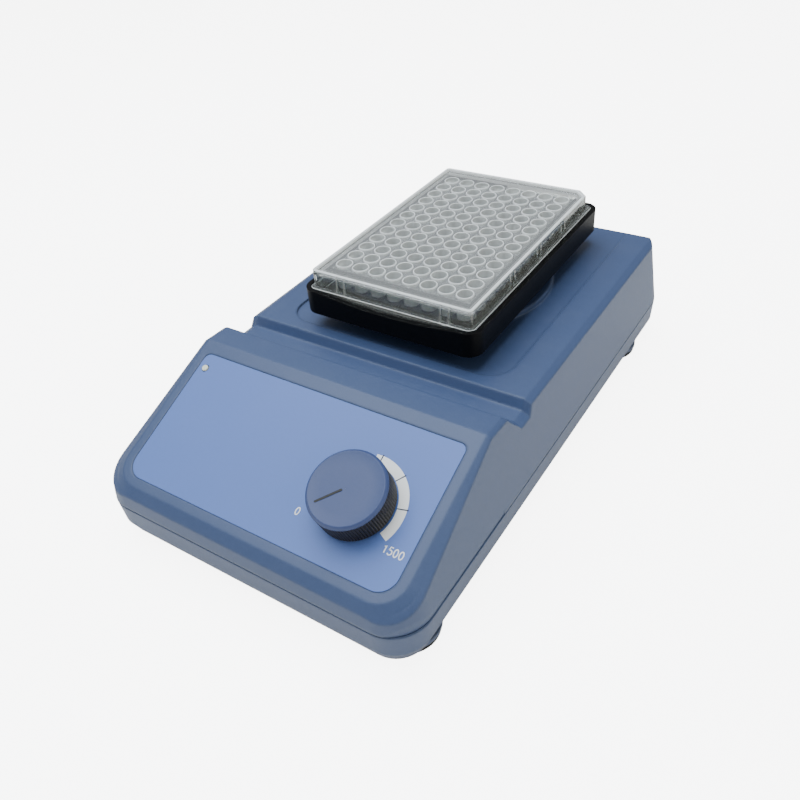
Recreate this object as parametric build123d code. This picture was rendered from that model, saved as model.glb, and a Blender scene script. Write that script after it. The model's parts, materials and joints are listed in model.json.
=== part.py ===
from build123d import *
import os
from math import cos, radians, sin, tan

# Orbital microplate shaker, in millimetres and degrees.
# X runs to the right seen from the front, Y to the back and Z up.
# The origin is on the table, under the middle of the housing.

# Housing outline at the parting line
body_width = 157.6
body_depth = 263.0
body_corner_radius = 16.0
wall = 2.5
wall_lean = 8.6

# Heights above the table
foot_height = 4.0
knee_height = 10.0
parting_height = 21.5
panel_front_height = 31.75
groove_height = 49.6
deck_height = 54.0

# Lower housing
seam_gap = 0.5
knee_inset = 0.7
underside_inset = 3.2
floor_thickness = 2.5
lip_thickness = 1.4
lip_clearance = 0.5
lip_rise = 2.0
lip_root = 5.0
vent_x = 21.0
vent_width = 3.0
vent_length = 34.0
vent_pitch = 7.0
vent_count = 6

# Upper housing, seen from the side
panel_setback = 4.5
panel_run = 67.8
panel_slope = 22.7
strip_depth = 12.3
strip_fall = 0.6
groove_front_run = 10.0
groove_floor_depth = 7.8
groove_back_run = 2.4
edge_flat_inset = 7.9
edge_bevel = 24.8
bevel_depth = 3.5
panel_corner_radius = 12.0

# Recessed field and round plinth on the deck
field_side_gap = 20.8
field_front_gap = 6.4
field_corner_radius = 12.0
field_depth = 1.0
plinth_radius = 46.0
plinth_rise = 1.5
plinth_edge = 0.8
collar_thickness = 1.8
collar_rise = 1.6

# Control panel
overlay_side_gap = 12.0
overlay_length = 63.4
overlay_front_gap = 4.0
overlay_front_radius = 8.0
overlay_back_radius = 3.0
overlay_thickness = 0.35
overlay_recess = 0.5
overlay_clearance = 0.2

# Speed knob and its potentiometer
knob_from_right = 41.6
knob_up_panel = 31.3
knob_radius = 16.1
knob_height = 12.0
knob_gap = 0.6
knob_wall = 1.8
knob_bevel = 1.0
knob_band = 1.6
knurl_count = 87
knurl_depth = 0.5
knob_cap_radius = 14.6
knob_cap_thickness = 1.2
knob_hub_radius = 5.5
pointer_width = 0.9
pointer_thickness = 0.4
pointer_start = 1.3
pointer_end = 12.6
pointer_zero_angle = 227.5
pot_shaft_radius = 3.0
pot_shaft_rise = 9.0
pot_body_radius = 8.5
pot_body_depth = 8.0
pot_floor = 1.0
pot_bushing_radius = 3.5
pot_bushing_rise = 3.6
pot_nut_across_flats = 10.0
pot_nut_thickness = 2.0
pot_tab_width = 11.0
pot_tab_reach = 3.0
shaft_flat_depth = 1.0
shaft_clearance = 0.05

# Power lamp
lamp_from_left = 16.0
lamp_up_panel = 60.0
lamp_radius = 1.5
lamp_rim_radius = 2.1
lamp_length = 8.0
lamp_rise = 0.5
lamp_rim_height = 1.8

# Control board under the panel
board_width = 82.0
board_length = 42.0
board_left_of_knob = 26.2
board_up_panel = 33.0
board_thickness = 1.6
board_post_radius = 3.0
board_post_inset = 5.0
board_screw_radius = 1.1
board_screw_length = 6.0
board_head_radius = 2.1
board_head_height = 1.5

# Drive
orbit_radius = 2.25
orbit_phase = -67.0
spindle_y = 47.0
drive_plate_top = 42.0
drive_plate_thickness = 3.0
drive_plate_width = 94.0
drive_plate_depth = 78.0
drive_plate_corner = 8.0
drive_slot_length = 22.0
drive_slot_width = 9.0
drive_slot_from_edge = 9.5
drive_post_x = 40.0
drive_post_y = 31.0
drive_post_radius = 6.0
damper_radius = 6.0
damper_thickness = 3.0
damper_neck_radius = 3.6
damper_cap_radius = 5.4
damper_cap_thickness = 1.6
drive_screw_length = 20.0
motor_radius = 24.0
motor_height = 25.0
motor_wall = 1.4
motor_cap_thickness = 2.5
motor_boss_radius = 8.0
motor_shaft_radius = 3.0
motor_bearing_radius = 6.0
motor_bearing_height = 4.0
motor_bearing_floor = 0.8
motor_screw_circle = 17.0
motor_screw_radius = 1.2
motor_head_radius = 2.6
motor_head_height = 0.6
stator_thickness = 12.0
stator_gap = 0.6
rotor_radius = 12.0
pole_count = 6
pole_width = 3.0
shoe_width = 9.2
shoe_thickness = 1.4
stator_ring = 2.5
coil_thickness = 2.1
coil_end_rise = 2.0
coil_to_ring = 0.7
rotor_hole_count = 4
rotor_hole_radius = 1.6
rotor_hole_circle = 7.4
hub_radius = 9.0
hub_gap = 0.8
hub_flange_radius = 13.0
hub_flange_thickness = 2.0
counterweight_radius = 22.0
counterweight_thickness = 4.6
counterweight_edge = 1.5
counterweight_screw_back = 4.5
counterweight_screw_side = 10.6
counterweight_screw_radius = 1.3
counterweight_head_radius = 2.3
counterweight_head_height = 1.4
grub_radius = 1.5
journal_radius = 6.0
bearing_outer_radius = 14.0
bearing_width = 8.0
bearing_split_radius = 9.0
washer_radius = 7.5
washer_thickness = 0.8
journal_screw_radius = 1.55
journal_screw_length = 5.5
journal_head_radius = 2.8
journal_head_height = 1.8

# Idler cranks
idler_circle_radius = 31.0
idler_count = 3
idler_first_angle = 90.0
idler_journal_radius = 4.0
idler_bush_radius = 6.0
idler_bush_flange = 7.5
idler_bush_length = 9.0
idler_flange_thickness = 1.2
idler_disc_gap = 0.2
idler_collar = 1.2
idler_collar_gap = 0.3
idler_disc_radius = 7.0
idler_disc_thickness = 5.0
idler_pin_radius = 2.5
idler_pin_clearance = 0.3
carrier_bush_radius = 4.5
carrier_bush_wall = 2.2

# Platform
plate_width = 85.48
plate_length = 127.76
plate_height = 14.35
plate_corner_radius = 3.18
plate_top_height = 81.5
nest_clearance = 0.45
tray_wall = 2.3
tray_corner_radius = 7.0
tray_lip_below_plate_top = 8.3
tray_skirt_height = 11.7
tray_floor = 2.0
tray_rim_inset = 5.0
tray_rim_wall = 2.0
tray_rim_height = 6.0
tray_dip_width = 72.0
tray_dip_depth = 2.6
mat_thickness = 1.0
mat_clearance = 0.6
carrier_thickness = 4.0
carrier_clearance = 0.5
carrier_hub_radius = 17.5
carrier_boss_height = 2.6
carrier_shoulder = 1.2
carrier_shoulder_overlap = 3.0
carrier_window_depth = 14.0
carrier_window_margin = 17.0
carrier_window_from_end = 14.0
tray_screw_x = 28.0
tray_screw_y = 44.0
tray_screw_radius = 2.0

# Microplate
flange_height = 6.1
flange_wall = 1.3
flange_roof = 1.2
plate_body_inset = 1.5
plate_wall = 1.1
plate_deck_thickness = 1.3
well_pitch = 9.0
well_rows = 12
well_columns = 8
well_radius = 3.6
well_wall = 0.55
well_depth = 10.9
well_floor = 0.9
well_sides = 8

# Rear panel and what it carries
rear_window_side_gap = 19.8
rear_window_bottom = 11.0
rear_window_top = 46.0
rear_panel_thickness = 2.0
rear_panel_setback = 6.0
rear_panel_capture = 2.5
rear_panel_clearance = 0.2
rear_frame_margin = 7.0
rear_frame_depth = 4.5
inlet_from_left = 30.0
inlet_height_above_table = 28.5
inlet_flange_width = 48.0
inlet_flange_height = 29.0
inlet_flange_thickness = 2.0
inlet_body_width = 29.0
inlet_body_height = 26.0
inlet_body_depth = 17.0
inlet_corner_radius = 3.0
inlet_screw_spacing = 40.0
inlet_screw_radius = 1.5
inlet_screw_length = 9.0
inlet_head_radius = 2.8
inlet_head_height = 1.4
inlet_nut_across_flats = 5.5
inlet_nut_thickness = 2.4
socket_width = 24.4
socket_height = 13.6
socket_depth = 17.0
socket_up = 4.4
socket_corner = 4.0
pin_width = 2.0
pin_height = 4.0
pin_spacing = 14.0
pin_row_down = 2.0
middle_pin_up = 4.0
pin_recess = 5.0
pin_tail = 6.0
drawer_width = 22.0
drawer_height = 6.6
drawer_depth = 16.0
drawer_down = 8.6
drawer_clearance = 0.25
drawer_face = 1.2
drawer_face_gap = 0.3
drawer_face_side = 1.0
drawer_face_edge = 0.6
fuse_radius = 2.5
fuse_length = 18.0
fuse_from_face = 10.0
fuse_clearance = 0.1
switch_from_right = 19.0
switch_flange_width = 15.0
switch_flange_height = 21.0
switch_body_width = 13.0
switch_body_height = 19.0
switch_flange_thickness = 1.8
switch_corner_radius = 1.2
switch_body_depth = 14.0
switch_tab_width = 6.0
switch_tab_length = 5.0
switch_tab_thickness = 0.8
switch_tab_up = 4.0
rocker_width = 9.6
rocker_radius = 7.6
rocker_rise = 3.4
rocker_tilt = 9.0
rocker_clearance = 0.3
rocker_pin_radius = 1.5
rocker_pin_reach = 1.0

# Power supply board
supply_width = 104.0
supply_depth = 30.0
supply_from_front = 62.0
supply_post_height = 4.5
transformer_x = 12.0
transformer_width = 30.0
transformer_depth = 25.0
transformer_height = 24.0
transformer_leg = 5.0
coil_overhang = 3.5
capacitor_radius = 6.0
capacitor_height = 22.0
capacitor_places = (-22.0, -38.0)
capacitor_from_edge = 8.0
sink_left = 29.0
sink_width = 14.0
sink_height = 18.0
sink_fin_count = 4
sink_fin_thickness = 1.4
sink_fin_length = 9.0
sink_back = 3.0
sink_from_edge = 3.0

# Fasteners
foot_from_side = 15.3
foot_front = 21.5
foot_back = 35.5
foot_radius = 13.0
foot_screw_radius = 1.75
foot_post_radius = 5.0
foot_post_height = 9.0
foot_pad_height = 1.0
foot_pad_margin = 0.5
case_screw_from_side = 10.5
case_screw_front = 43.5
case_screw_back = 55.0
case_screw_radius = 1.75
case_post_radius = 5.0
case_screw_reach = 12.0
screw_head_radius = 3.4
screw_head_height = 2.0
screw_drive_radius = 1.2
screw_drive_depth = 1.1
thread_bite = 0.05
clearance_around_screw = 0.3

# Sizes that follow from the driving ones
lean = tan(radians(wall_lean))
slope = radians(panel_slope)
body_front = -body_depth / 2
body_back = body_depth / 2
body_right = body_width / 2
flat_half = body_right - edge_flat_inset
panel_front = body_front + panel_setback
crease = (panel_front + panel_run, panel_front_height + panel_run * tan(slope))
strip_back = (crease[0] + strip_depth, crease[1] - strip_fall)
groove_front = (strip_back[0] + groove_front_run, groove_height)
groove_back = (groove_front[0] + groove_floor_depth, groove_height)
deck_front = (groove_back[0] + groove_back_run, deck_height)
highest = max(crease[1], deck_height) + 1.0
floor_top = foot_height + floor_thickness
plinth_top = deck_height + plinth_rise
side_fall = tan(radians(edge_bevel)) / cos(slope)
field_width = body_width - 2 * field_side_gap
overlay_width = body_width - 2 * overlay_side_gap
knob_x = body_right - knob_from_right
lamp_x = lamp_from_left - body_right
board_x = knob_x - board_left_of_knob
rear_window_width = body_width - 2 * rear_window_side_gap
rear_frame_width = rear_window_width + 2 * rear_frame_margin
rear_face = body_back - rear_panel_setback
inlet_x = inlet_from_left - rear_window_width / 2
inlet_mouth = rear_face + inlet_flange_thickness
inlet_z = inlet_height_above_table
drawer_z = inlet_z - drawer_down
switch_x = rear_window_width / 2 - switch_from_right
supply_front = body_front + supply_from_front
supply_back = supply_front + supply_depth
supply_middle = supply_front + supply_depth / 2

platform_x = orbit_radius * cos(radians(orbit_phase))
platform_y = spindle_y + orbit_radius * sin(radians(orbit_phase))
plate_bottom = plate_top_height - plate_height
tray_floor_top = plate_bottom - mat_thickness
carrier_top = tray_floor_top - tray_floor
carrier_bottom = carrier_top - carrier_thickness
bearing_top = carrier_top - carrier_thickness - carrier_shoulder
bearing_bottom = bearing_top - bearing_width
tray_top = plate_top_height - tray_lip_below_plate_top
tray_width = plate_width + 2 * (nest_clearance + tray_wall)
tray_length = plate_length + 2 * (nest_clearance + tray_wall)
tray_skirt_bottom = tray_top - tray_skirt_height
tray_rim_bottom = carrier_top - tray_rim_height
carrier_width = tray_width - 2 * (tray_rim_inset + tray_rim_wall + carrier_clearance)
carrier_length = tray_length - 2 * (tray_rim_inset + tray_rim_wall + carrier_clearance)
drive_plate_bottom = drive_plate_top - drive_plate_thickness
hub_bottom = drive_plate_top + hub_gap
motor_top = drive_plate_bottom
motor_bottom = motor_top - motor_height
hub_opening_radius = carrier_hub_radius + orbit_radius + 1.25
pin_opening_radius = idler_pin_radius + orbit_radius + 1.25
pot_drop = wall + pot_body_depth
foot_x = body_right - foot_from_side
case_screw_x = body_right - case_screw_from_side
foot_places = [(side * foot_x, y) for side in (-1, 1)
               for y in (body_front + foot_front, body_back - foot_back)]
case_screw_places = [(side * case_screw_x, y) for side in (-1, 1)
                     for y in (body_front + case_screw_front, body_back - case_screw_back)]
drive_post_places = [(side_x * drive_post_x, spindle_y + side_y * drive_post_y)
                     for side_x in (-1, 1) for side_y in (-1, 1)]
idler_angles = [idler_first_angle + 360.0 / idler_count * i for i in range(idler_count)]
idler_bores = [(idler_circle_radius * cos(radians(a)), idler_circle_radius * sin(radians(a)))
               for a in idler_angles]
idler_places = [(x, spindle_y + y) for x, y in idler_bores]

panel_plane = Plane(origin=(0, panel_front, panel_front_height), x_dir=(1, 0, 0),
                    z_dir=(0, -sin(slope), cos(slope)))
on_panel = panel_plane.location
at_knob = on_panel * Pos(knob_x, knob_up_panel, 0)
at_lamp = on_panel * Pos(lamp_x, lamp_up_panel, 0)
in_platform = Pos(platform_x, platform_y, 0)
standing = (Align.CENTER, Align.CENTER, Align.MIN)
hanging = (Align.CENTER, Align.CENTER, Align.MAX)


def rod(x, y, bottom, top, radius):
    return Pos(x, y, (bottom + top) / 2) * Cylinder(radius, top - bottom)


def tube(x, y, bottom, top, outer, inner):
    return rod(x, y, bottom, top, outer) - rod(x, y, bottom - 1, top + 1, inner)


def block(x0, x1, y0, y1, z0, z1):
    return Pos((x0 + x1) / 2, (y0 + y1) / 2, (z0 + z1) / 2) * Box(x1 - x0, y1 - y0, z1 - z0)


def across(x, z, width, height, front, back):
    # A block that runs front to back, centred on x and z.
    return block(x - width / 2, x + width / 2, front, back, z - height / 2, z + height / 2)


def back_to_front(x, y, z, radius, length):
    # A rod along Y whose back end is at y.
    return Pos(x, y, z) * Rot(90, 0, 0) * Cylinder(radius, length, align=standing)


def slab(width, length, radius, bottom, top):
    return extrude(Pos(0, 0, bottom) * RectangleRounded(width, length, radius), amount=top - bottom)


def group(pieces):
    return Compound(children=[piece for shape in pieces for piece in shape.solids()])


# Housing


def case_section(height, inset):
    corner = max(body_corner_radius - inset, 1.0)
    return Pos(0, 0, height) * RectangleRounded(body_width - 2 * inset, body_depth - 2 * inset, corner)


def case_loft(sections):
    return loft([case_section(height, inset) for height, inset in sections], ruled=True)


def leaning_block(inset, bottom, top):
    return case_loft([(z, inset + (z - parting_height) * lean) for z in (bottom, top)])


def rear_profile():
    far = body_back + 20
    bevel_start = body_back - edge_flat_inset
    points = [
        (crease[0], 0),
        crease,
        strip_back,
        groove_front,
        groove_back,
        deck_front,
        (bevel_start, deck_height),
        (far, deck_height - (far - bevel_start) * side_fall),
        (far, 0),
    ]
    return make_face(Plane.YZ * Polyline(points, close=True))


def front_envelope():
    # The panel is a flat with rounded front corners; below it the bevel widens all round.
    length = panel_run / cos(slope) + 2 * panel_corner_radius
    spread = bevel_depth / tan(radians(edge_bevel))
    flat = RectangleRounded(2 * flat_half, length, panel_corner_radius)
    wide = RectangleRounded(2 * (flat_half + spread), length + 2 * spread, panel_corner_radius + spread)
    upper = on_panel * Pos(0, length / 2, 0) * flat
    lower = on_panel * Pos(0, length / 2, -bevel_depth) * wide
    solid = loft([upper, lower], ruled=True) + extrude(lower, amount=body_depth, dir=(0, 0, -1))
    return solid & block(-body_width, body_width, body_front - 50, crease[0], -50, highest + 50)


def rear_envelope():
    profile = rear_profile()
    reach = edge_flat_inset + 5
    middle = extrude(profile, amount=flat_half, both=True)
    right = extrude(Pos(flat_half, 0, 0) * profile, amount=reach, dir=(1, 0, -side_fall))
    return middle + right + mirror(right, about=Plane.YZ)


def upper_outside():
    shape = leaning_block(0, parting_height, highest)
    return shape & (front_envelope() + rear_envelope())


def upper_inside():
    far = body_depth
    points = [
        (-far, panel_front_height - (far + panel_front) * tan(slope)),
        crease,
        strip_back,
        groove_front,
        groove_back,
        deck_front,
        (far, deck_height),
        (far, -far),
        (-far, -far),
    ]
    face = offset(make_face(Plane.YZ * Polyline(points, close=True)), -wall, kind=Kind.INTERSECTION)
    return leaning_block(wall, parting_height - 1, highest) & extrude(face, amount=body_width, both=True)


def rear_frame(bottom, top):
    # Two ribs behind the rear window hold the rear panel in a slot.
    half = rear_frame_width / 2
    return block(-half, half, rear_slot_front() - rear_frame_depth / 2, body_back, bottom, top)


def rear_slot_front():
    return body_back - rear_panel_setback - rear_panel_thickness - rear_panel_clearance


def rear_cut():
    half = rear_window_width / 2
    window = block(-half, half, rear_slot_front() - rear_frame_depth, body_back + 10,
                   rear_window_bottom, rear_window_top)
    margin = rear_panel_capture + rear_panel_clearance
    slot = block(-half - margin, half + margin, rear_slot_front(),
                 rear_slot_front() + rear_panel_thickness + 2 * rear_panel_clearance,
                 rear_window_bottom - margin, rear_window_top + margin)
    return window + slot


def make_upper_housing():
    outside = upper_outside()
    bosses = Part() + [rod(x, y, parting_height, highest, case_post_radius) for x, y in case_screw_places]
    # Posts under the panel carry the control board.
    for x, up in board_post_places():
        bosses += on_panel * Pos(x, up, 0) * Cylinder(board_post_radius, pot_drop, align=hanging)
    bosses += at_lamp * Cylinder(lamp_rim_radius + wall, lamp_length - lamp_rim_height - 0.2, align=hanging)
    bosses += rear_frame(parting_height, highest)
    housing = outside - upper_inside() + (outside & bosses)
    housing = with_deck(housing)

    recess = extrude(overlay_outline(0), amount=10)
    housing -= on_panel * Pos(0, overlay_front_gap + overlay_length / 2, -overlay_recess) * recess
    housing -= at_knob * Cylinder(pot_bushing_radius + 0.2, 3 * wall)
    housing -= at_lamp * Cylinder(lamp_radius + 0.1, 4 * lamp_length)
    housing -= rear_cut()
    for x, y in case_screw_places:
        housing -= rod(x, y, 0, parting_height + case_screw_reach, case_screw_radius)
    for x, up in board_post_places():
        housing -= on_panel * Pos(x, up, -wall) * Cylinder(board_screw_radius, 2 * pot_drop, align=hanging)
    return housing


def with_deck(housing):
    # The recessed field, the round plinth with its collar, and the openings for the drive.
    field_front = deck_front[0] + field_front_gap
    field_length = 2 * (body_back - field_front)
    field = slab(field_width, field_length, field_corner_radius, deck_height - field_depth, highest)
    housing -= Pos(0, field_front + field_length / 2, 0) * field
    plinth = rod(0, spindle_y, deck_height - wall, plinth_top, plinth_radius)
    plinth = fillet(plinth.edges().group_by(Axis.Z)[-1], plinth_edge)
    hollow = rod(0, spindle_y, deck_height - 3 * wall, plinth_top - wall, plinth_radius - wall)
    housing = housing + plinth - hollow
    collar_radius = hub_opening_radius + collar_thickness
    housing += rod(0, spindle_y, plinth_top - wall, plinth_top + collar_rise, collar_radius)
    housing -= rod(0, spindle_y, 0, highest + 20, hub_opening_radius)
    for x, y in idler_places:
        housing -= rod(x, y, 0, highest + 20, pin_opening_radius)
    return housing


def base_outside():
    top = parting_height - seam_gap
    return case_loft([(foot_height, underside_inset), (knee_height, knee_inset), (top, 0)])


def housing_lip():
    # The lip stands inside the seam and reaches up behind the wall of the upper housing.
    outer = wall + lip_clearance
    root = wall - 0.3
    bottom = parting_height - lip_root
    lip = case_loft([(bottom, outer), (parting_height + lip_rise, outer)])
    lip += case_loft([(bottom, root), (bottom + 2.0, root)])
    lip -= case_loft([(bottom - 1, outer + lip_thickness), (highest, outer + lip_thickness)])
    half = rear_frame_width / 2 + 1
    return lip - block(-half, half, rear_slot_front() - rear_frame_depth, body_back + 1, 0, highest)


def make_base_housing():
    base = base_outside()
    base -= case_loft([(floor_top, wall + knee_inset), (parting_height + 1, wall)])
    base += housing_lip()
    base += rear_frame(foot_height + 1, parting_height - seam_gap) & base_outside()

    pad_radius = foot_radius + foot_pad_margin
    for x, y in case_screw_places:
        base += rod(x, y, foot_height, parting_height, case_post_radius)
    for x, y in foot_places:
        base += rod(x, y, foot_height, foot_height + foot_post_height, foot_post_radius)
        base += rod(x, y, foot_height - foot_pad_height, foot_height + foot_pad_height, pad_radius)
    for x, y in drive_post_places:
        base += rod(x, y, foot_height, drive_plate_bottom - damper_thickness, drive_post_radius)
    for x, y in supply_post_places():
        base += rod(x, y, foot_height, floor_top + supply_post_height, board_post_radius)

    for x, y in case_screw_places:
        base -= rod(x, y, 0, highest, case_screw_radius + 0.2)
        base -= rod(x, y, 0, foot_height + screw_head_height + 1.0,
                    screw_head_radius + clearance_around_screw)
    for x, y in foot_places:
        base -= rod(x, y, 0, foot_height + foot_post_height + 1, foot_screw_radius - thread_bite)
    for x, y in drive_post_places:
        base -= rod(x, y, floor_top, highest, case_screw_radius - thread_bite)
    for x, y in supply_post_places():
        base -= rod(x, y, floor_top, highest, board_screw_radius - thread_bite)
    base -= base_vents()
    base -= rear_cut()
    return base


def base_vents():
    vents = Part()
    for i in range(vent_count):
        y = spindle_y + (i - (vent_count - 1) / 2) * vent_pitch
        for side in (-1, 1):
            slot = extrude(SlotOverall(vent_length, vent_width), amount=floor_top + 1)
            vents += Pos(side * vent_x, y, 0) * slot
    return vents


def make_housing_screws():
    tip = parting_height + case_screw_reach - 1.0
    return [screw(x, y, foot_height + 1.0, tip, case_screw_radius - thread_bite)
            for x, y in case_screw_places]


def screw(x, y, head_bottom, tip, radius):
    head = rod(x, y, head_bottom, head_bottom + screw_head_height, screw_head_radius)
    shank = rod(x, y, head_bottom + screw_head_height, tip, radius)
    drive = rod(x, y, head_bottom - 1, head_bottom + screw_drive_depth, screw_drive_radius)
    return head + shank - drive


def make_rubber_feet():
    feet = []
    hollow_radius = screw_head_radius + clearance_around_screw
    for x, y in foot_places:
        foot = rod(x, y, 0, foot_height - foot_pad_height, foot_radius)
        foot = fillet(foot.edges().group_by(Axis.Z)[0], 0.8)
        foot -= rod(x, y, -1, foot_head_bottom() + screw_head_height, hollow_radius)
        foot -= rod(x, y, -1, foot_height, foot_screw_radius + 0.1)
        feet.append(foot)
    return feet


def foot_head_bottom():
    return (foot_height - foot_pad_height - screw_head_height) / 2


def make_foot_screws():
    tip = foot_height + foot_post_height - 1
    return [screw(x, y, foot_head_bottom(), tip, foot_screw_radius - 0.1) for x, y in foot_places]


# Control panel


def overlay_outline(clearance):
    width = overlay_width - 2 * clearance
    length = overlay_length - 2 * clearance
    face = Rectangle(width, length)
    front = face.vertices().group_by(Axis.Y)[0]
    face = fillet(front, overlay_front_radius)
    back = face.vertices().group_by(Axis.Y)[-1]
    return fillet(back, overlay_back_radius)


def make_panel_overlay():
    sheet = extrude(overlay_outline(overlay_clearance), amount=overlay_thickness)
    sheet = on_panel * Pos(0, overlay_front_gap + overlay_length / 2, -overlay_recess) * sheet
    sheet -= at_knob * Cylinder(pot_bushing_radius + 0.3, 10)
    sheet -= at_lamp * Cylinder(lamp_radius + 0.3, 10)
    return sheet


def make_power_lamp():
    lens = Pos(0, 0, -lamp_length) * Cylinder(lamp_radius, lamp_length + lamp_rise, align=standing)
    lens = fillet(lens.edges().group_by(Axis.Z)[-1], 0.4)
    rim = Pos(0, 0, -lamp_length) * Cylinder(lamp_rim_radius, lamp_rim_height, align=standing)
    return at_lamp * (lens + rim)


def board_post_places():
    half_x = board_width / 2 - board_post_inset
    half_y = board_length / 2 - board_post_inset
    return [(board_x + sx * half_x, board_up_panel + sy * half_y) for sx in (-1, 1) for sy in (-1, 1)]


def make_control_board():
    board = Box(board_width, board_length, board_thickness, align=hanging)
    board = Pos(board_x, board_up_panel, -pot_drop) * board
    for x, up in board_post_places():
        board -= Pos(x, up, -pot_drop) * Cylinder(board_screw_radius + 0.2, 10)
    board -= Pos(knob_x, knob_up_panel, -pot_drop) * Cylinder(pot_shaft_radius + 0.5, 10)
    return on_panel * board


def make_board_screws():
    screws = []
    under = -pot_drop - board_thickness
    for x, up in board_post_places():
        head = Cylinder(board_head_radius, board_head_height, align=hanging)
        shank = Cylinder(board_screw_radius - thread_bite, board_thickness + board_screw_length,
                         align=standing)
        screws.append(on_panel * Pos(x, up, under) * (head + shank))
    return screws


def make_board_parts():
    # Two capacitors, a driver, the cable header and a small regulator hang under the board.
    middle = on_panel * Pos(board_x, board_up_panel, -pot_drop - board_thickness)
    parts = []
    for x in (-29, -16):
        capacitor = Pos(x, 9, 0) * Cylinder(4.0, 9.0, align=hanging)
        parts.append(fillet(capacitor.edges().group_by(Axis.Z)[0], 0.6))
    parts.append(Pos(-9, -8, 0) * Box(16, 7, 2.4, align=hanging))
    parts.append(Pos(-27, -9, 0) * Box(12, 5, 7, align=hanging))
    parts.append(Pos(1, 9, 0) * Box(10, 8, 3, align=hanging))
    return [middle * part for part in parts]


def make_pot_body():
    bottom = -wall - pot_body_depth
    body = Pos(0, 0, -wall) * Cylinder(pot_body_radius, pot_body_depth, align=hanging)
    body += Pos(0, 0, -wall) * Cylinder(pot_bushing_radius, wall + pot_bushing_rise, align=standing)
    body += Pos(0, -pot_body_radius, bottom) * Box(pot_tab_width, 2 * pot_tab_reach, 2.0, align=standing)
    body -= Cylinder(pot_shaft_radius + shaft_clearance, 4 * (wall + pot_body_depth))
    body += Pos(0, 0, bottom) * Cylinder(pot_body_radius - 1, pot_floor, align=standing)
    return at_knob * body


def make_pot_nut():
    nut = extrude(RegularPolygon(pot_nut_across_flats / 2, 6, major_radius=False), amount=pot_nut_thickness)
    nut -= Cylinder(pot_bushing_radius + 0.05, 10)
    return at_knob * Pos(0, 0, overlay_thickness - overlay_recess) * nut


def make_pot_shaft():
    bottom = -wall - pot_body_depth + pot_floor + 0.3
    shaft = Pos(0, 0, bottom) * Cylinder(pot_shaft_radius, pot_shaft_rise - bottom, align=standing)
    shaft -= Pos(pot_shaft_radius - shaft_flat_depth, 0, pot_bushing_rise + 0.5) * flat_cutter()
    return at_knob * shaft


def flat_cutter():
    return Box(2 * shaft_flat_depth, 4 * pot_shaft_radius, 2 * knob_height,
               align=(Align.MIN, Align.CENTER, Align.MIN))


def make_speed_knob():
    skirt_height = knob_height - knob_band
    hub_bottom_rise = pot_bushing_rise + 0.6
    notch = Rot(0, 0, 180) * RegularPolygon(knurl_depth, 3)
    ring = Circle(knob_radius) - PolarLocations(knob_radius, knurl_count) * notch
    knob = Pos(0, 0, knob_gap) * extrude(ring, amount=skirt_height)
    band = Cylinder(knob_radius, knob_band, align=standing)
    band = chamfer(band.edges().group_by(Axis.Z)[-1], knob_bevel)
    knob += Pos(0, 0, knob_gap + skirt_height) * band
    knob -= Pos(0, 0, knob_gap - 1) * Cylinder(knob_radius - knob_wall, skirt_height - 1, align=standing)
    knob += Pos(0, 0, hub_bottom_rise) * Cylinder(
        knob_hub_radius, knob_gap + skirt_height - hub_bottom_rise, align=standing)
    bore = Cylinder(pot_shaft_radius + 0.02, pot_shaft_rise + 0.3, align=standing)
    bore -= Pos(pot_shaft_radius - shaft_flat_depth + 0.02, 0, 0) * flat_cutter()
    knob -= bore
    cap_seat = Cylinder(knob_cap_radius, 5, align=standing)
    knob -= Pos(0, 0, knob_gap + knob_height - knob_cap_thickness) * cap_seat
    return at_knob * knob


def pointer_bar(height, clearance):
    length = pointer_end - pointer_start
    bar = Box(length + 2 * clearance, pointer_width + 2 * clearance, height, align=hanging)
    return Rot(0, 0, pointer_zero_angle) * Pos(pointer_start + length / 2, 0, 0) * bar


def make_knob_cap():
    top = knob_gap + knob_height
    cap = Pos(0, 0, top) * Cylinder(knob_cap_radius - 0.05, knob_cap_thickness, align=hanging)
    cap -= Pos(0, 0, top + 1) * pointer_bar(pointer_thickness + 1, 0.02)
    return at_knob * cap


def make_knob_pointer():
    return at_knob * Pos(0, 0, knob_gap + knob_height) * pointer_bar(pointer_thickness, 0)


# Drive under the deck


def make_drive_plate():
    plate = slab(drive_plate_width, drive_plate_depth, drive_plate_corner, drive_plate_bottom,
                 drive_plate_top)
    plate = Pos(0, spindle_y, 0) * plate
    plate -= rod(0, spindle_y, 0, highest, motor_boss_radius + 0.1)
    for x, y in drive_post_places:
        plate -= rod(x, y, 0, highest, damper_neck_radius + 0.05)
    for x, y in idler_places:
        plate -= rod(x, y, 0, highest, idler_bush_radius)
    for x, y in motor_screw_places():
        plate -= rod(x, y, 0, highest, motor_screw_radius + 0.4)
    slot = extrude(SlotOverall(drive_slot_length, drive_slot_width), amount=drive_plate_thickness + 2)
    for side in (-1, 1):
        x = side * (drive_plate_width / 2 - drive_slot_from_edge)
        plate -= Pos(x, spindle_y, drive_plate_bottom - 1) * Rot(0, 0, 90) * slot
    return plate


def motor_screw_places():
    return [(motor_screw_circle * cos(radians(a)), spindle_y + motor_screw_circle * sin(radians(a)))
            for a in (30, 150, 270)]


def make_drive_dampers():
    dampers = []
    for x, y in drive_post_places:
        damper = rod(x, y, drive_plate_bottom - damper_thickness, drive_plate_bottom, damper_radius)
        damper += rod(x, y, drive_plate_bottom, drive_plate_top, damper_neck_radius)
        damper += rod(x, y, drive_plate_top, drive_plate_top + damper_cap_thickness, damper_cap_radius)
        damper -= rod(x, y, 0, highest, case_screw_radius + 0.1)
        dampers.append(damper)
    return dampers


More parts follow.
